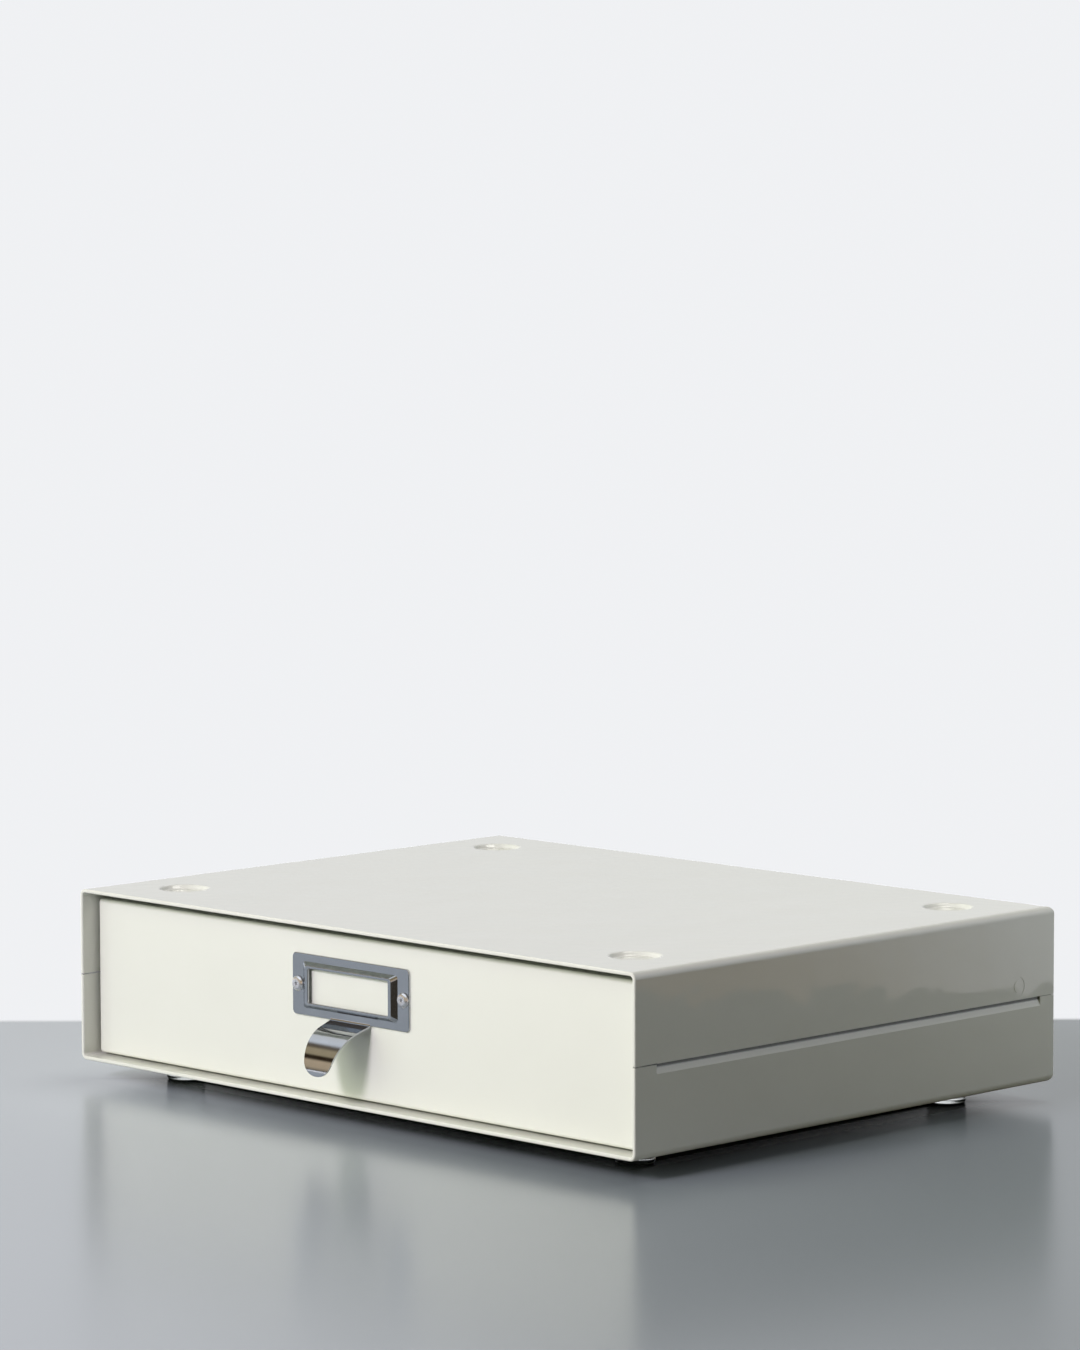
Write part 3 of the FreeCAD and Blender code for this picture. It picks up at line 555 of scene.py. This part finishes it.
@dataclass(frozen=True)
class Lathe:
    """Turns a profile about the local Z axis into a closed mesh."""

    segments: int = 64
    arc_steps: int = 8
    sharp_angle: float = math.radians(28)

    def rounded(self, corners: Sequence[Corner]) -> list[Vector]:
        """Points of a profile with its soft corners rounded.

        Args:
            corners: The profile from the axis round the outside and back to the axis.

        Returns:
            Points as (radius, height) vectors.
        """
        points: list[Vector] = []
        for index, corner in enumerate(corners):
            here = Vector((corner.radius, corner.height))
            if not corner.soft:
                points.append(here)
                continue
            before, after = corners[index - 1], corners[index + 1]
            back = (Vector((before.radius, before.height)) - here).normalized()
            ahead = (Vector((after.radius, after.height)) - here).normalized()
            half = back.angle(ahead) / 2
            centre = here + (back + ahead).normalized() * (corner.soft / math.sin(half))
            start = here + back * (corner.soft / math.tan(half)) - centre
            end = here + ahead * (corner.soft / math.tan(half)) - centre
            for step in range(self.arc_steps + 1):
                points.append(centre + start.slerp(end, step / self.arc_steps) * corner.soft)
        return points

    def mesh(self, name: str, corners: Sequence[Corner]) -> bpy.types.Mesh:
        """Revolve a profile.

        Args:
            name: The mesh's name.
            corners: The profile's corners, from the axis's lower end round the outside to its top.

        Returns:
            A closed mesh with outward faces.
        """
        first, *rings, last = self.rounded(corners)
        angles = [math.tau * step / self.segments for step in range(self.segments)]
        points = [(0.0, 0.0, first.y)]
        for ring in rings:
            points += [
                (ring.x * math.cos(angle), ring.x * math.sin(angle), ring.y) for angle in angles
            ]
        points.append((0.0, 0.0, last.y))
        top = len(points) - 1
        last_ring = top - self.segments
        faces = []
        for step in range(self.segments):
            after = (step + 1) % self.segments
            faces.append((0, 1 + after, 1 + step))
            for low in range(1, last_ring, self.segments):
                high = low + self.segments
                faces.append((low + step, low + after, high + after, high + step))
            faces.append((last_ring + step, last_ring + after, top))
        made = bpy.data.meshes.new(name)
        made.from_pydata(points, [], faces)
        made.shade_smooth()
        made.set_sharp_from_angle(angle=self.sharp_angle)
        return made


class SettingOut:
    """Geometry Nodes tree that puts copies of a piece at the corners of a rectangle."""

    INPUTS = (
        ("Piece", "NodeSocketObject"),
        ("Pitch X", "NodeSocketFloat"),
        ("Pitch Y", "NodeSocketFloat"),
        ("Rows", "NodeSocketInt"),
        ("Centre", "NodeSocketVector"),
        ("Turn", "NodeSocketVector"),
        ("Material", "NodeSocketMaterial"),
    )

    def __init__(self) -> None:
        """Build the tree once."""
        self.tree = bpy.data.node_groups.new("setting_out", "GeometryNodeTree")
        face = self.tree.interface
        face.new_socket("Geometry", in_out="INPUT", socket_type="NodeSocketGeometry")
        self.keys = {
            label: face.new_socket(label, in_out="INPUT", socket_type=kind).identifier
            for label, kind in self.INPUTS
        }
        face.new_socket("Geometry", in_out="OUTPUT", socket_type="NodeSocketGeometry")
        board = NodeBoard(self.tree)
        entry = board.add("NodeGroupInput").outputs
        grid = board.add(
            "GeometryNodeMeshGrid",
            {
                "Size X": entry["Pitch X"],
                "Size Y": entry["Pitch Y"],
                "Vertices X": len(SIDES),
                "Vertices Y": entry["Rows"],
            },
        )
        placed = board.add(
            "GeometryNodeSetPosition", {"Geometry": grid.outputs["Mesh"], "Offset": entry["Centre"]}
        )
        source = board.add("GeometryNodeObjectInfo", {"Object": entry["Piece"]})
        turn = board.add("FunctionNodeEulerToRotation", {"Euler": entry["Turn"]})
        copies = board.add(
            "GeometryNodeInstanceOnPoints",
            {
                "Points": placed.outputs[0],
                "Instance": source.outputs["Geometry"],
                "Rotation": turn.outputs[0],
            },
        )
        solid = board.add("GeometryNodeRealizeInstances", {"Geometry": copies.outputs[0]})
        finished = board.add(
            "GeometryNodeSetMaterial", {"Geometry": solid.outputs[0], "Material": entry["Material"]}
        )
        board.add("NodeGroupOutput", {"Geometry": finished.outputs[0]})

    def lay(
        self, name: str, pattern: bpy.types.Mesh, values: dict[str, object]
    ) -> bpy.types.Object:
        """Set out one row or rectangle of a piece as a plain mesh.

        Args:
            name: Name of the finished piece.
            pattern: Mesh of one copy.
            values: The tree's inputs by name, without the piece itself.

        Returns:
            The finished object, at the origin.
        """
        pattern_object = bpy.data.objects.new(f"{name}_pattern", pattern)
        host = bpy.data.objects.new(f"{name}_host", bpy.data.meshes.new(f"{name}_host"))
        for item in (pattern_object, host):
            bpy.context.scene.collection.objects.link(item)
        modifier = host.modifiers.new("setting_out", "NODES")
        modifier.node_group = self.tree
        modifier[self.keys["Piece"]] = pattern_object
        for label, value in values.items():
            modifier[self.keys[label]] = value
        graph = bpy.context.evaluated_depsgraph_get()
        made = bpy.data.meshes.new_from_object(host.evaluated_get(graph))
        host.modifiers.remove(modifier)
        for item in (host, pattern_object):
            bpy.data.objects.remove(item)
        made.name = name
        while made.materials[0] is None:
            made.materials.pop(index=0)
        piece = bpy.data.objects.new(name, made)
        bpy.context.scene.collection.objects.link(piece)
        return piece


@dataclass
class Workshop:
    """What every sub-assembly needs to make and dress its pieces."""

    paint: PaintShop = field(default_factory=PaintShop)
    setting: SettingOut = field(default_factory=SettingOut)
    lathe: Lathe = field(default_factory=Lathe)


class Facing(Enum):
    """Which way a turned piece's head points, as the turn that takes it there from upright."""

    UP = (0.0, 0.0, 0.0)
    DOWN = (math.pi, 0.0, 0.0)
    FORWARD = (math.pi / 2, 0.0, 0.0)


@dataclass(frozen=True)
class TurnedSet:
    """A kind of turned piece that repeats on one body and stands for its plain nodes."""

    name: str
    body: Body
    finish: Finish
    nodes: tuple[str, ...]
    corners: tuple[Corner, ...]
    facing: Facing = Facing.UP

    def build(self, shop: Workshop) -> None:
        """Turn the piece and put a copy on the middle of each of its nodes.

        Args:
            shop: Finishes and tools.
        """
        middles = [sum(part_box(node), Vector()) / 2 for node in self.nodes]
        low = Vector(tuple(min(point[axis] for point in middles) for axis in range(3)))
        high = Vector(tuple(max(point[axis] for point in middles) for axis in range(3)))
        heights = [corner.height for corner in self.corners]
        middle = Vector((0.0, 0.0, (min(heights) + max(heights)) / 2))
        middle.rotate(Euler(self.facing.value))
        values = {
            "Pitch X": high.x - low.x,
            "Pitch Y": high.y - low.y,
            "Rows": 2 if high.y - low.y > MM else 1,
            "Centre": (low + high) / 2 - middle,
            "Turn": self.facing.value,
            "Material": shop.paint.materials[self.finish],
        }
        pattern = shop.lathe.mesh(f"{self.name}_profile", self.corners)
        piece = shop.setting.lay(self.name, pattern, values)
        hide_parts(*self.nodes)
        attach(piece, self.body.value)
        LOG.info("%s: %d copies on the %s", self.name, len(self.nodes), self.body.value)


# --------------------------------------------------------------------------------------------------
# Case and drawer
# --------------------------------------------------------------------------------------------------


def by_side(*stems: str) -> tuple[str, ...]:
    """Node names of pieces that come in left and right pairs."""
    return tuple(f"{stem}_{side}" for stem in stems for side in SIDES)


@dataclass(frozen=True)
class GlideButton:
    """Snap-in nylon button: a domed head on one face of the sheet and a barbed stem through it."""

    head: float = 7.0 * MM
    seat_soft: float = 0.15 * MM
    crown: float = 2.45 * MM
    crown_soft: float = 1.1 * MM
    dimple: float = 1.1 * MM
    dimple_floor: float = 0.77 * MM
    dimple_depth: float = 0.3 * MM
    stem: float = 2.0 * MM
    tip: float = 1.6 * MM
    tip_soft: float = 0.3 * MM
    barb: float = 2.6 * MM
    slack: float = 0.05 * MM
    edge_soft: float = 0.2 * MM
    sheet: float = 0.8 * MM
    tail: float = 1.6 * MM

    def corners(self) -> tuple[Corner, ...]:
        """Profile, with the sheet's face at height 0."""
        barb_top = -self.sheet - self.slack
        dimple_base = self.crown - self.dimple_depth
        return (
            Corner(0.0, -self.sheet - self.tail),
            Corner(self.tip, -self.sheet - self.tail, self.tip_soft),
            Corner(self.barb, barb_top, self.edge_soft),
            Corner(self.stem, barb_top),
            Corner(self.stem, 0.0),
            Corner(self.head, 0.0, self.seat_soft),
            Corner(self.head, self.crown, self.crown_soft),
            Corner(self.dimple, self.crown, self.edge_soft),
            Corner(self.dimple_floor, dimple_base, self.edge_soft),
            Corner(0.0, dimple_base),
        )


@dataclass(frozen=True)
class BlindRivet:
    """Domed rivet with the broken mandrel in its eye, and its set bulb behind the sheets."""

    head: float = 3.15 * MM
    seat_soft: float = 0.1 * MM
    rim: float = 0.4 * MM
    crown: float = 1.3 * MM
    dome_soft: float = 1.4 * MM
    shank: float = 1.6 * MM
    bulb: float = 2.4 * MM
    bulb_soft: float = 0.8 * MM
    neck_soft: float = 0.5 * MM
    edge_soft: float = 0.15 * MM
    eye: float = 0.62 * MM
    eye_depth: float = 1.0 * MM
    eye_floor: float = 0.558 * MM
    eye_soft: float = 0.1 * MM
    mandrel: float = 0.31 * MM
    mandrel_edge: float = 0.05 * MM
    mandrel_peak: float = 0.12 * MM
    grip: float = 1.6 * MM
    tail: float = 3.4 * MM

    def corners(self) -> tuple[Corner, ...]:
        """Profile, with the plate's face at height 0."""
        shoulder = (self.head + self.eye) / 2 + self.rim
        eye_base = self.crown - self.eye_depth
        return (
            Corner(0.0, -self.grip - self.tail),
            Corner(self.bulb, -self.grip - self.tail, self.bulb_soft),
            Corner(self.bulb, -self.grip, self.neck_soft),
            Corner(self.shank, -self.grip),
            Corner(self.shank, 0.0),
            Corner(self.head, 0.0, self.seat_soft),
            Corner(self.head, self.rim, self.edge_soft),
            Corner(shoulder, self.crown, self.dome_soft),
            Corner(self.eye, self.crown, self.edge_soft),
            Corner(self.eye_floor, eye_base, self.eye_soft),
            Corner(self.mandrel, eye_base + self.mandrel_edge, self.mandrel_edge),
            Corner(0.0, eye_base + self.mandrel_peak),
        )


@dataclass(frozen=True)
class ClearFoot:
    """Clear foot, slightly tapered, with a rounded lower rim and a shallow cup below."""

    top: float = 8.5 * MM
    base: float = 8.0 * MM
    tall: float = 8.5 * MM
    rim_soft: float = 1.4 * MM
    cup: float = 4.5 * MM
    cup_floor: float = 3.15 * MM
    cup_depth: float = 0.8 * MM
    cup_soft: float = 0.5 * MM

    def corners(self) -> tuple[Corner, ...]:
        """Profile, with the table at height 0."""
        return (
            Corner(0.0, self.cup_depth),
            Corner(self.cup_floor, self.cup_depth, self.cup_soft),
            Corner(self.cup, 0.0, self.cup_soft),
            Corner(self.base, 0.0, self.rim_soft),
            Corner(self.top, self.tall),
            Corner(0.0, self.tall),
        )


@dataclass(frozen=True)
class RubberDot:
    """Soft dot with a rounded face."""

    outer: float = 5.0 * MM
    tall: float = 3.0 * MM
    face_soft: float = 1.0 * MM

    def corners(self) -> tuple[Corner, ...]:
        """Profile, with the wall at height 0."""
        return (
            Corner(0.0, 0.0),
            Corner(self.outer, 0.0),
            Corner(self.outer, self.tall, self.face_soft),
            Corner(0.0, self.tall),
        )


@dataclass(frozen=True)
class Case:
    """The two enamelled shells with their feet, catches, glides and buffers."""

    foot: ClearFoot = ClearFoot()
    glide: GlideButton = GlideButton()
    dot: RubberDot = RubberDot()

    def build(self, shop: Workshop) -> None:
        """Finish the shells and make the fittings.

        Args:
            shop: Finishes and tools.
        """
        for node in ("upper_shell", "lower_shell", *by_side("stop_catch")):
            shop.paint.coat(node, Finish.ENAMEL)
        feet = by_side("foot_front", "foot_rear")
        glides = by_side("glide_front")
        dots = by_side("buffer")
        fittings = (
            TurnedSet("clear_feet", Body.CASE, Finish.FOOT, feet, self.foot.corners()),
            TurnedSet("floor_glides", Body.CASE, Finish.NYLON, glides, self.glide.corners()),
            TurnedSet(
                "rubber_dots", Body.CASE, Finish.RUBBER, dots, self.dot.corners(), Facing.FORWARD
            ),
        )
        for fitting in fittings:
            fitting.build(shop)


@dataclass(frozen=True)
class Drawer:
    """The enamelled drawer with its plated label holder, rivets and glides."""

    rivet: BlindRivet = BlindRivet()
    glide: GlideButton = GlideButton()

    def build(self, shop: Workshop) -> None:
        """Finish the sheet parts and make the fittings.

        Args:
            shop: Finishes and tools.
        """
        for node in ("drawer_front", "drawer_tray", "drawer_back"):
            shop.paint.coat(node, Finish.ENAMEL)
        shop.paint.coat("label_holder", Finish.PLATING)
        rivets = by_side("rivet")
        glides = by_side("glide_rear")
        fittings = (
            TurnedSet(
                "rivets", Body.DRAWER, Finish.RIVET, rivets, self.rivet.corners(), Facing.FORWARD
            ),
            TurnedSet(
                "tray_glides", Body.DRAWER, Finish.NYLON, glides, self.glide.corners(), Facing.DOWN
            ),
        )
        for fitting in fittings:
            fitting.build(shop)


# --------------------------------------------------------------------------------------------------
# Studio
# --------------------------------------------------------------------------------------------------

BACKDROP: Colour = (0.87, 0.88, 0.90)
# Painted reflection: brighter than the backdrop, for mirrored rays that look behind the object.
GLEAM: Colour = (1.60, 1.65, 1.80)


class StudioBoard(NodeBoard):
    """Node board of a studio material, which shows different things to different rays."""

    def __init__(self, tree: bpy.types.NodeTree) -> None:
        """Empty the tree and add the node that tells the rays apart.

        Args:
            tree: The material's or the world's node tree.
        """
        super().__init__(tree)
        tree.nodes.clear()
        self.rays = self.add("ShaderNodeLightPath").outputs

    def shown(self) -> bpy.types.NodeSocket:
        """Mask of the rays that see the backdrop: straight, mirrored or through clear plastic.

        Returns:
            A socket with 1 for those rays.
        """
        mirrored = self.maths("MAXIMUM", self.rays["Is Camera Ray"], self.rays["Is Glossy Ray"])
        return self.maths("MAXIMUM", mirrored, self.rays["Is Transmission Ray"])

    def glow(self, colour: object) -> bpy.types.Node:
        """Shader that glows in a plain colour or a socket's."""
        return self.add("ShaderNodeEmission", {"Color": colour, "Strength": 1.0})


@dataclass(frozen=True)
class Tabletop:
    """Grey tabletop with painted shade to the right and a painted shadow below the object, cut off
    against the backdrop.

    Headings are level, as seen by the camera: away from it, to its right, and towards the
    tabletop's right-hand end. Distances along them run from the object's middle.
    """

    size: float = 12.0
    gloss: float = 0.22
    colour: Colour = (0.41, 0.45, 0.49)
    sheen: float = 0.75
    # Painted shade: the colour and sheen to the right of the object, and a darker, browner colour
    # there that only bounced light sees, which dims and warms the light thrown onto the case.
    shade: Colour = (0.165, 0.195, 0.21)
    shade_sheen: float = 0.25
    painted_bounce_shade: Colour = (0.10, 0.085, 0.035)
    shade_starts: float = -0.25
    shade_ends: float = 0.25
    # Painted shadow under the case.
    under: Colour = (0.03, 0.035, 0.03)
    under_fade: float = 0.03
    case_half_width: float = 0.165
    case_half_depth: float = 0.125
    case_middle: float = 0.006
    away: Place = (-0.71, 0.704, 0.0)
    right: Place = (0.71, 0.704, 0.0)
    aside: Place = (0.79, 0.613, 0.0)
    reach: float = 0.85
    away_end: float = 0.183
    aside_end: float = 0.504
    bulge: float = 0.06
    bulge_starts: float = 0.08
    bulge_ends: float = 0.19
    end_fade: float = 0.005
    # Painted reflection: the dark that mirrored rays see on the top in front.
    dark_front: float = -0.24
    dark_fade: float = 0.02
    dark: Colour = (0.056, 0.047, 0.037)
    # Painted reflection: the brighter colour that mirrored rays see on the backdrop.
    gleam: Colour = (0.95, 0.82, 0.75)
    gleam_starts: float = -0.16
    gleam_ends: float = 0.05

    def build(self) -> None:
        """Lay the tabletop."""
        half = self.size / 2
        corners = [(-half, -half, 0), (half, -half, 0), (half, half, 0), (-half, half, 0)]
        mesh = bpy.data.meshes.new("floor")
        mesh.from_pydata(corners, [], [(0, 1, 2, 3)])
        mesh.materials.append(self.finish())
        floor = bpy.data.objects.new("floor", mesh)
        bpy.context.scene.collection.objects.link(floor)

    def finish(self) -> bpy.types.Material:
        """Make the material: the top as far as its end, and the backdrop past it.

        Returns:
            The material.
        """
        material = bpy.data.materials.new("floor")
        material.use_nodes = True
        board = StudioBoard(material.node_tree)
        place = board.add("ShaderNodeTexCoord").outputs["Object"]
        away = board.along(place, self.away)
        right = board.along(place, self.right)
        top = self.top(board, place, away, right)
        beyond = self.beyond(board, away)
        mixed = board.choose(self.past_end(board, place, away, right), top, beyond)
        board.add("ShaderNodeOutputMaterial", {"Surface": mixed.outputs[0]})
        return material

    def past_end(
        self,
        board: StudioBoard,
        place: bpy.types.NodeSocket,
        away: bpy.types.NodeSocket,
        right: bpy.types.NodeSocket,
    ) -> bpy.types.NodeSocket:
        """Mask of what lies past the end, which bulges out behind the object.

        Args:
            board: The material's board.
            place: Socket of the coordinates.
            away: Socket of the distance away from the camera.
            right: Socket of the distance to the camera's right.

        Returns:
            The mask's socket.
        """
        reach = board.add("ShaderNodeVectorMath", {0: place}, operation="LENGTH").outputs["Value"]
        past = board.maths("SUBTRACT", reach, self.reach)
        past_aside = board.maths("SUBTRACT", board.along(place, self.aside), self.aside_end)
        past = board.maths("MAXIMUM", past, past_aside)
        off_middle = board.maths("ABSOLUTE", right)
        bulge = board.ramp(off_middle, self.bulge_ends, self.bulge_starts, (0.0, self.bulge))
        past_away = board.maths("SUBTRACT", board.maths("SUBTRACT", away, self.away_end), bulge)
        past = board.maths("MAXIMUM", past, past_away)
        return board.ramp(past, -self.end_fade, self.end_fade)

    def painted_shadow_under_case(
        self, board: StudioBoard, place: bpy.types.NodeSocket
    ) -> bpy.types.NodeSocket:
        """Mask of the painted shadow under the case, full a little inside its outline.

        Args:
            board: The material's board.
            place: Socket of the coordinates.

        Returns:
            The mask's socket.
        """
        spot = board.add("ShaderNodeSeparateXYZ", {0: place}).outputs
        off_side = board.maths("ABSOLUTE", spot["X"])
        off_middle = board.maths("ABSOLUTE", board.maths("SUBTRACT", spot["Y"], self.case_middle))
        past_side = board.maths("SUBTRACT", off_side, self.case_half_width)
        past_front = board.maths("SUBTRACT", off_middle, self.case_half_depth)
        return board.ramp(board.maths("MAXIMUM", past_side, past_front), 0.0, -self.under_fade)

    def top(
        self,
        board: StudioBoard,
        place: bpy.types.NodeSocket,
        away: bpy.types.NodeSocket,
        right: bpy.types.NodeSocket,
    ) -> bpy.types.Node:
        """Shader of the top, with its painted shade and shadow and a painted reflection: it shows
        dark in front to mirrored rays, as a room's floor does.

        Args:
            board: The material's board.
            place: Socket of the coordinates.
            away: Socket of the distance away from the camera.
            right: Socket of the distance to the camera's right.

        Returns:
            The shader's node.
        """
        # Painted shade to the right, with a darker colour for bounced light.
        shaded = board.ramp(right, self.shade_starts, self.shade_ends)
        bounced = board.rays["Is Diffuse Ray"]
        shade = board.blend(bounced, rgba(self.shade), rgba(self.painted_bounce_shade))
        colour = board.blend(shaded, rgba(self.colour), shade)
        # Painted shadow under the case, which also takes the sheen away there.
        under = self.painted_shadow_under_case(board, place)
        colour = board.blend(under, colour, rgba(self.under))
        sheen = board.ramp(shaded, 0.0, 1.0, (self.sheen, self.shade_sheen), smooth=False)
        sheen = board.maths("MULTIPLY", sheen, board.maths("SUBTRACT", 1.0, under))
        lit = board.add(
            "ShaderNodeBsdfPrincipled",
            {"Base Color": colour, "Roughness": self.gloss, "Specular IOR Level": sheen},
        )
        # Painted reflection: mirrored rays see a dark glow in front.
        in_front = board.ramp(away, self.dark_front, self.dark_front - self.dark_fade)
        mirrored = board.maths("MULTIPLY", board.rays["Is Glossy Ray"], in_front)
        return board.choose(mirrored, lit, board.glow(rgba(self.dark)))

    def beyond(self, board: StudioBoard, away: bpy.types.NodeSocket) -> bpy.types.Node:
        """Shader of the backdrop past the end, which glows brighter to mirrored rays, a painted
        reflection.

        Args:
            board: The material's board.
            away: Socket of the distance away from the camera.

        Returns:
            The shader's node.
        """
        # Painted reflection: mirrored rays see the backdrop brighter, most of all behind the
        # object.
        behind = board.ramp(away, self.gleam_starts, self.gleam_ends)
        gleam = board.blend(behind, rgba(self.gleam), rgba(GLEAM))
        white = board.glow(board.blend(board.rays["Is Glossy Ray"], rgba(BACKDROP), gleam))
        plain = board.add("ShaderNodeBsdfDiffuse", {"Color": rgba(BACKDROP)})
        return board.choose(board.shown(), plain, white)


@dataclass(frozen=True)
class Room:
    """White backdrop behind the object, darker bands in front of it, and a weak fill.

    The bands are colours at given heights of a ray's heading, blended in between. Only mirrored
    rays see them, and rays mirrored twice see a plainer room.
    """

    bands: tuple[tuple[float, Colour], ...] = (
        (0.02, (0.24, 0.20, 0.15)),
        (0.10, (0.62, 0.48, 0.33)),
        (0.28, (0.66, 0.51, 0.35)),
        (0.335, (0.03, 0.015, 0.005)),
        (0.405, (0.03, 0.015, 0.005)),
        (0.45, (0.47, 0.38, 0.24)),
        (0.56, (0.49, 0.40, 0.26)),
        (0.60, (0.14, 0.11, 0.08)),
        (0.63, (0.18, 0.15, 0.12)),
        (0.66, (0.95, 1.00, 1.08)),
    )
    twice_depth: float = 1.5
    twice_low: Colour = (0.72, 0.78, 0.88)
    twice_high: Colour = (0.13, 0.11, 0.10)
    twice_starts: float = 0.22
    twice_ends: float = 0.38
    behind_starts: float = -0.25
    behind_ends: float = 0.10
    gleam_side: float = 0.3
    weak: Colour = (0.02, 0.019, 0.016)
    fill: Colour = (1.70, 1.83, 1.46)
    fill_heading: Place = (-0.53, -0.84, 0.12)
    fill_starts: float = 0.55
    fill_ends: float = 0.85

    def build(self) -> None:
        """Make the world: what shown rays see of the room, and the fill for the others."""
        world = bpy.data.worlds.new("studio")
        world.use_nodes = True
        board = StudioBoard(world.node_tree)
        way = board.add("ShaderNodeTexCoord").outputs["Generated"]
        fill = board.ramp(board.along(way, self.fill_heading), self.fill_starts, self.fill_ends)
        lit = board.blend(fill, rgba(self.weak), rgba(self.fill))
        weak = board.add("ShaderNodeBackground", {"Color": lit, "Strength": 1.0})
        seen = board.add("ShaderNodeBackground", {"Color": self.seen(board, way), "Strength": 1.0})
        mixed = board.choose(board.shown(), weak, seen)
        board.add("ShaderNodeOutputWorld", {"Surface": mixed.outputs[0]})
        bpy.context.scene.world = world

    def seen(self, board: StudioBoard, way: bpy.types.NodeSocket) -> bpy.types.NodeSocket:
        """Colour of the room as straight, mirrored and passed rays see it.

        Args:
            board: The world's board.
            way: Socket of the ray's heading.

        Returns:
            The colour's socket.
        """
        heading = board.add("ShaderNodeSeparateXYZ", {0: way}).outputs
        ramp = board.add("ShaderNodeValToRGB", {"Fac": heading["Z"]})
        stops = ramp.color_ramp.elements
        for spare in stops[1:]:
            stops.remove(spare)
        for height, colour in self.bands:
            stops.new(height).color = rgba(colour)
        high = board.ramp(heading["Z"], self.twice_starts, self.twice_ends, smooth=False)
        plainer = board.blend(high, rgba(self.twice_low), rgba(self.twice_high))
        twice = board.maths("GREATER_THAN", board.rays["Glossy Depth"], self.twice_depth)
        room = board.blend(twice, ramp.outputs[0], plainer)
        behind = board.ramp(heading["Y"], self.behind_starts, self.behind_ends)
        white = board.maths("MAXIMUM", board.rays["Is Camera Ray"], behind)
        to_right = board.maths("GREATER_THAN", heading["X"], self.gleam_side)
        mirrored = board.maths("MULTIPLY", board.rays["Is Glossy Ray"], to_right)
        bright = board.maths("MULTIPLY", mirrored, behind)
        return board.blend(bright, board.blend(white, room, rgba(BACKDROP)), rgba(GLEAM))


@dataclass(frozen=True)
class SoftBox:
    """A rectangular area lamp that looks at a point, and shows in mirrors or not."""

    name: str
    place: Place
    aim: Place
    width: float
    height: float
    power: float
    colour: Colour
    mirrored: bool

    def build(self) -> None:
        """Hang the lamp."""
        data = bpy.data.lights.new(self.name, "AREA")
        data.shape = "RECTANGLE"
        data.size = self.width
        data.size_y = self.height
        data.energy = self.power
        data.color = self.colour
        lamp = bpy.data.objects.new(self.name, data)
        lamp.location = self.place
        lamp.visible_camera = False
        lamp.visible_glossy = self.mirrored
        lamp.rotation_mode = "QUATERNION"
        lamp.rotation_quaternion = (Vector(self.aim) - Vector(self.place)).to_track_quat("-Z", "Y")
        bpy.context.scene.collection.objects.link(lamp)


@dataclass(frozen=True)
class Studio:
    """Tabletop, room and soft lamps."""

    tabletop: Tabletop = Tabletop()
    room: Room = Room()
    lamps: tuple[SoftBox, ...] = (
        SoftBox(
            "key",
            place=(-0.03, -2.15, 1.24),
            aim=(0.0, -0.05, 0.04),
            width=0.5,
            height=0.5,
            power=29.5,
            colour=(1.03, 0.92, 1.10),
            mirrored=False,
        ),
        SoftBox(
            "ceiling",
            place=(0.05, 0.6, 2.2),
            aim=(0.0, 0.0, 0.08),
            width=0.9,
            height=0.9,
            power=13.6,
            colour=(1.0, 0.985, 0.92),
            mirrored=True,
        ),
        SoftBox(
            "side_strip",
            place=(0.36, 0.42, 0.15),
            aim=(0.165, 0.09, 0.05),
            width=0.30,
            height=0.15,
            power=0.38,
            colour=(0.93, 1.0, 1.05),
            mirrored=False,
        ),
    )

    def build(self) -> None:
        """Lay the tabletop, set the room and hang the lamps."""
        self.tabletop.build()
        self.room.build()
        for lamp in self.lamps:
            lamp.build()


@dataclass(frozen=True)
class Viewpoint:
    """Camera a little above the object, beyond its right-hand front corner."""

    place: Place = (1.55607, -1.54861, 0.39601)
    yaw: float = math.radians(45.249)
    pitch: float = math.radians(5.713)
    roll: float = math.radians(-0.105)
    focal_pixels: float = 5278.5
    picture_height: float = 1350.0
    sensor: float = 36.0

    def build(self) -> None:
        """Set up the camera."""
        ahead = Vector(
            (
                -math.sin(self.yaw) * math.cos(self.pitch),
                math.cos(self.yaw) * math.cos(self.pitch),
                -math.sin(self.pitch),
            )
        )
        level = Vector((math.cos(self.yaw), math.sin(self.yaw), 0.0))
        upright = level.cross(ahead)
        right = level * math.cos(self.roll) + upright * math.sin(self.roll)
        axes = Matrix((right, right.cross(ahead), -ahead)).transposed()
        data = bpy.data.cameras.new("camera")
        data.sensor_width = self.sensor
        data.lens = self.focal_pixels * self.sensor / self.picture_height
        camera = bpy.data.objects.new("camera", data)
        camera.location = self.place
        camera.rotation_mode = "QUATERNION"
        camera.rotation_quaternion = axes.to_quaternion()
        bpy.context.scene.collection.objects.link(camera)
        bpy.context.scene.camera = camera


def main() -> None:
    """Build the camera and studio, then the case and the drawer."""
    logging.basicConfig(level=logging.INFO, format="%(name)s: %(message)s")
    bpy.context.scene.view_settings.view_transform = "Standard"
    Viewpoint().build()
    Studio().build()
    shop = Workshop()
    Case().build(shop)
    Drawer().build(shop)


if __name__ == "__main__":
    main()
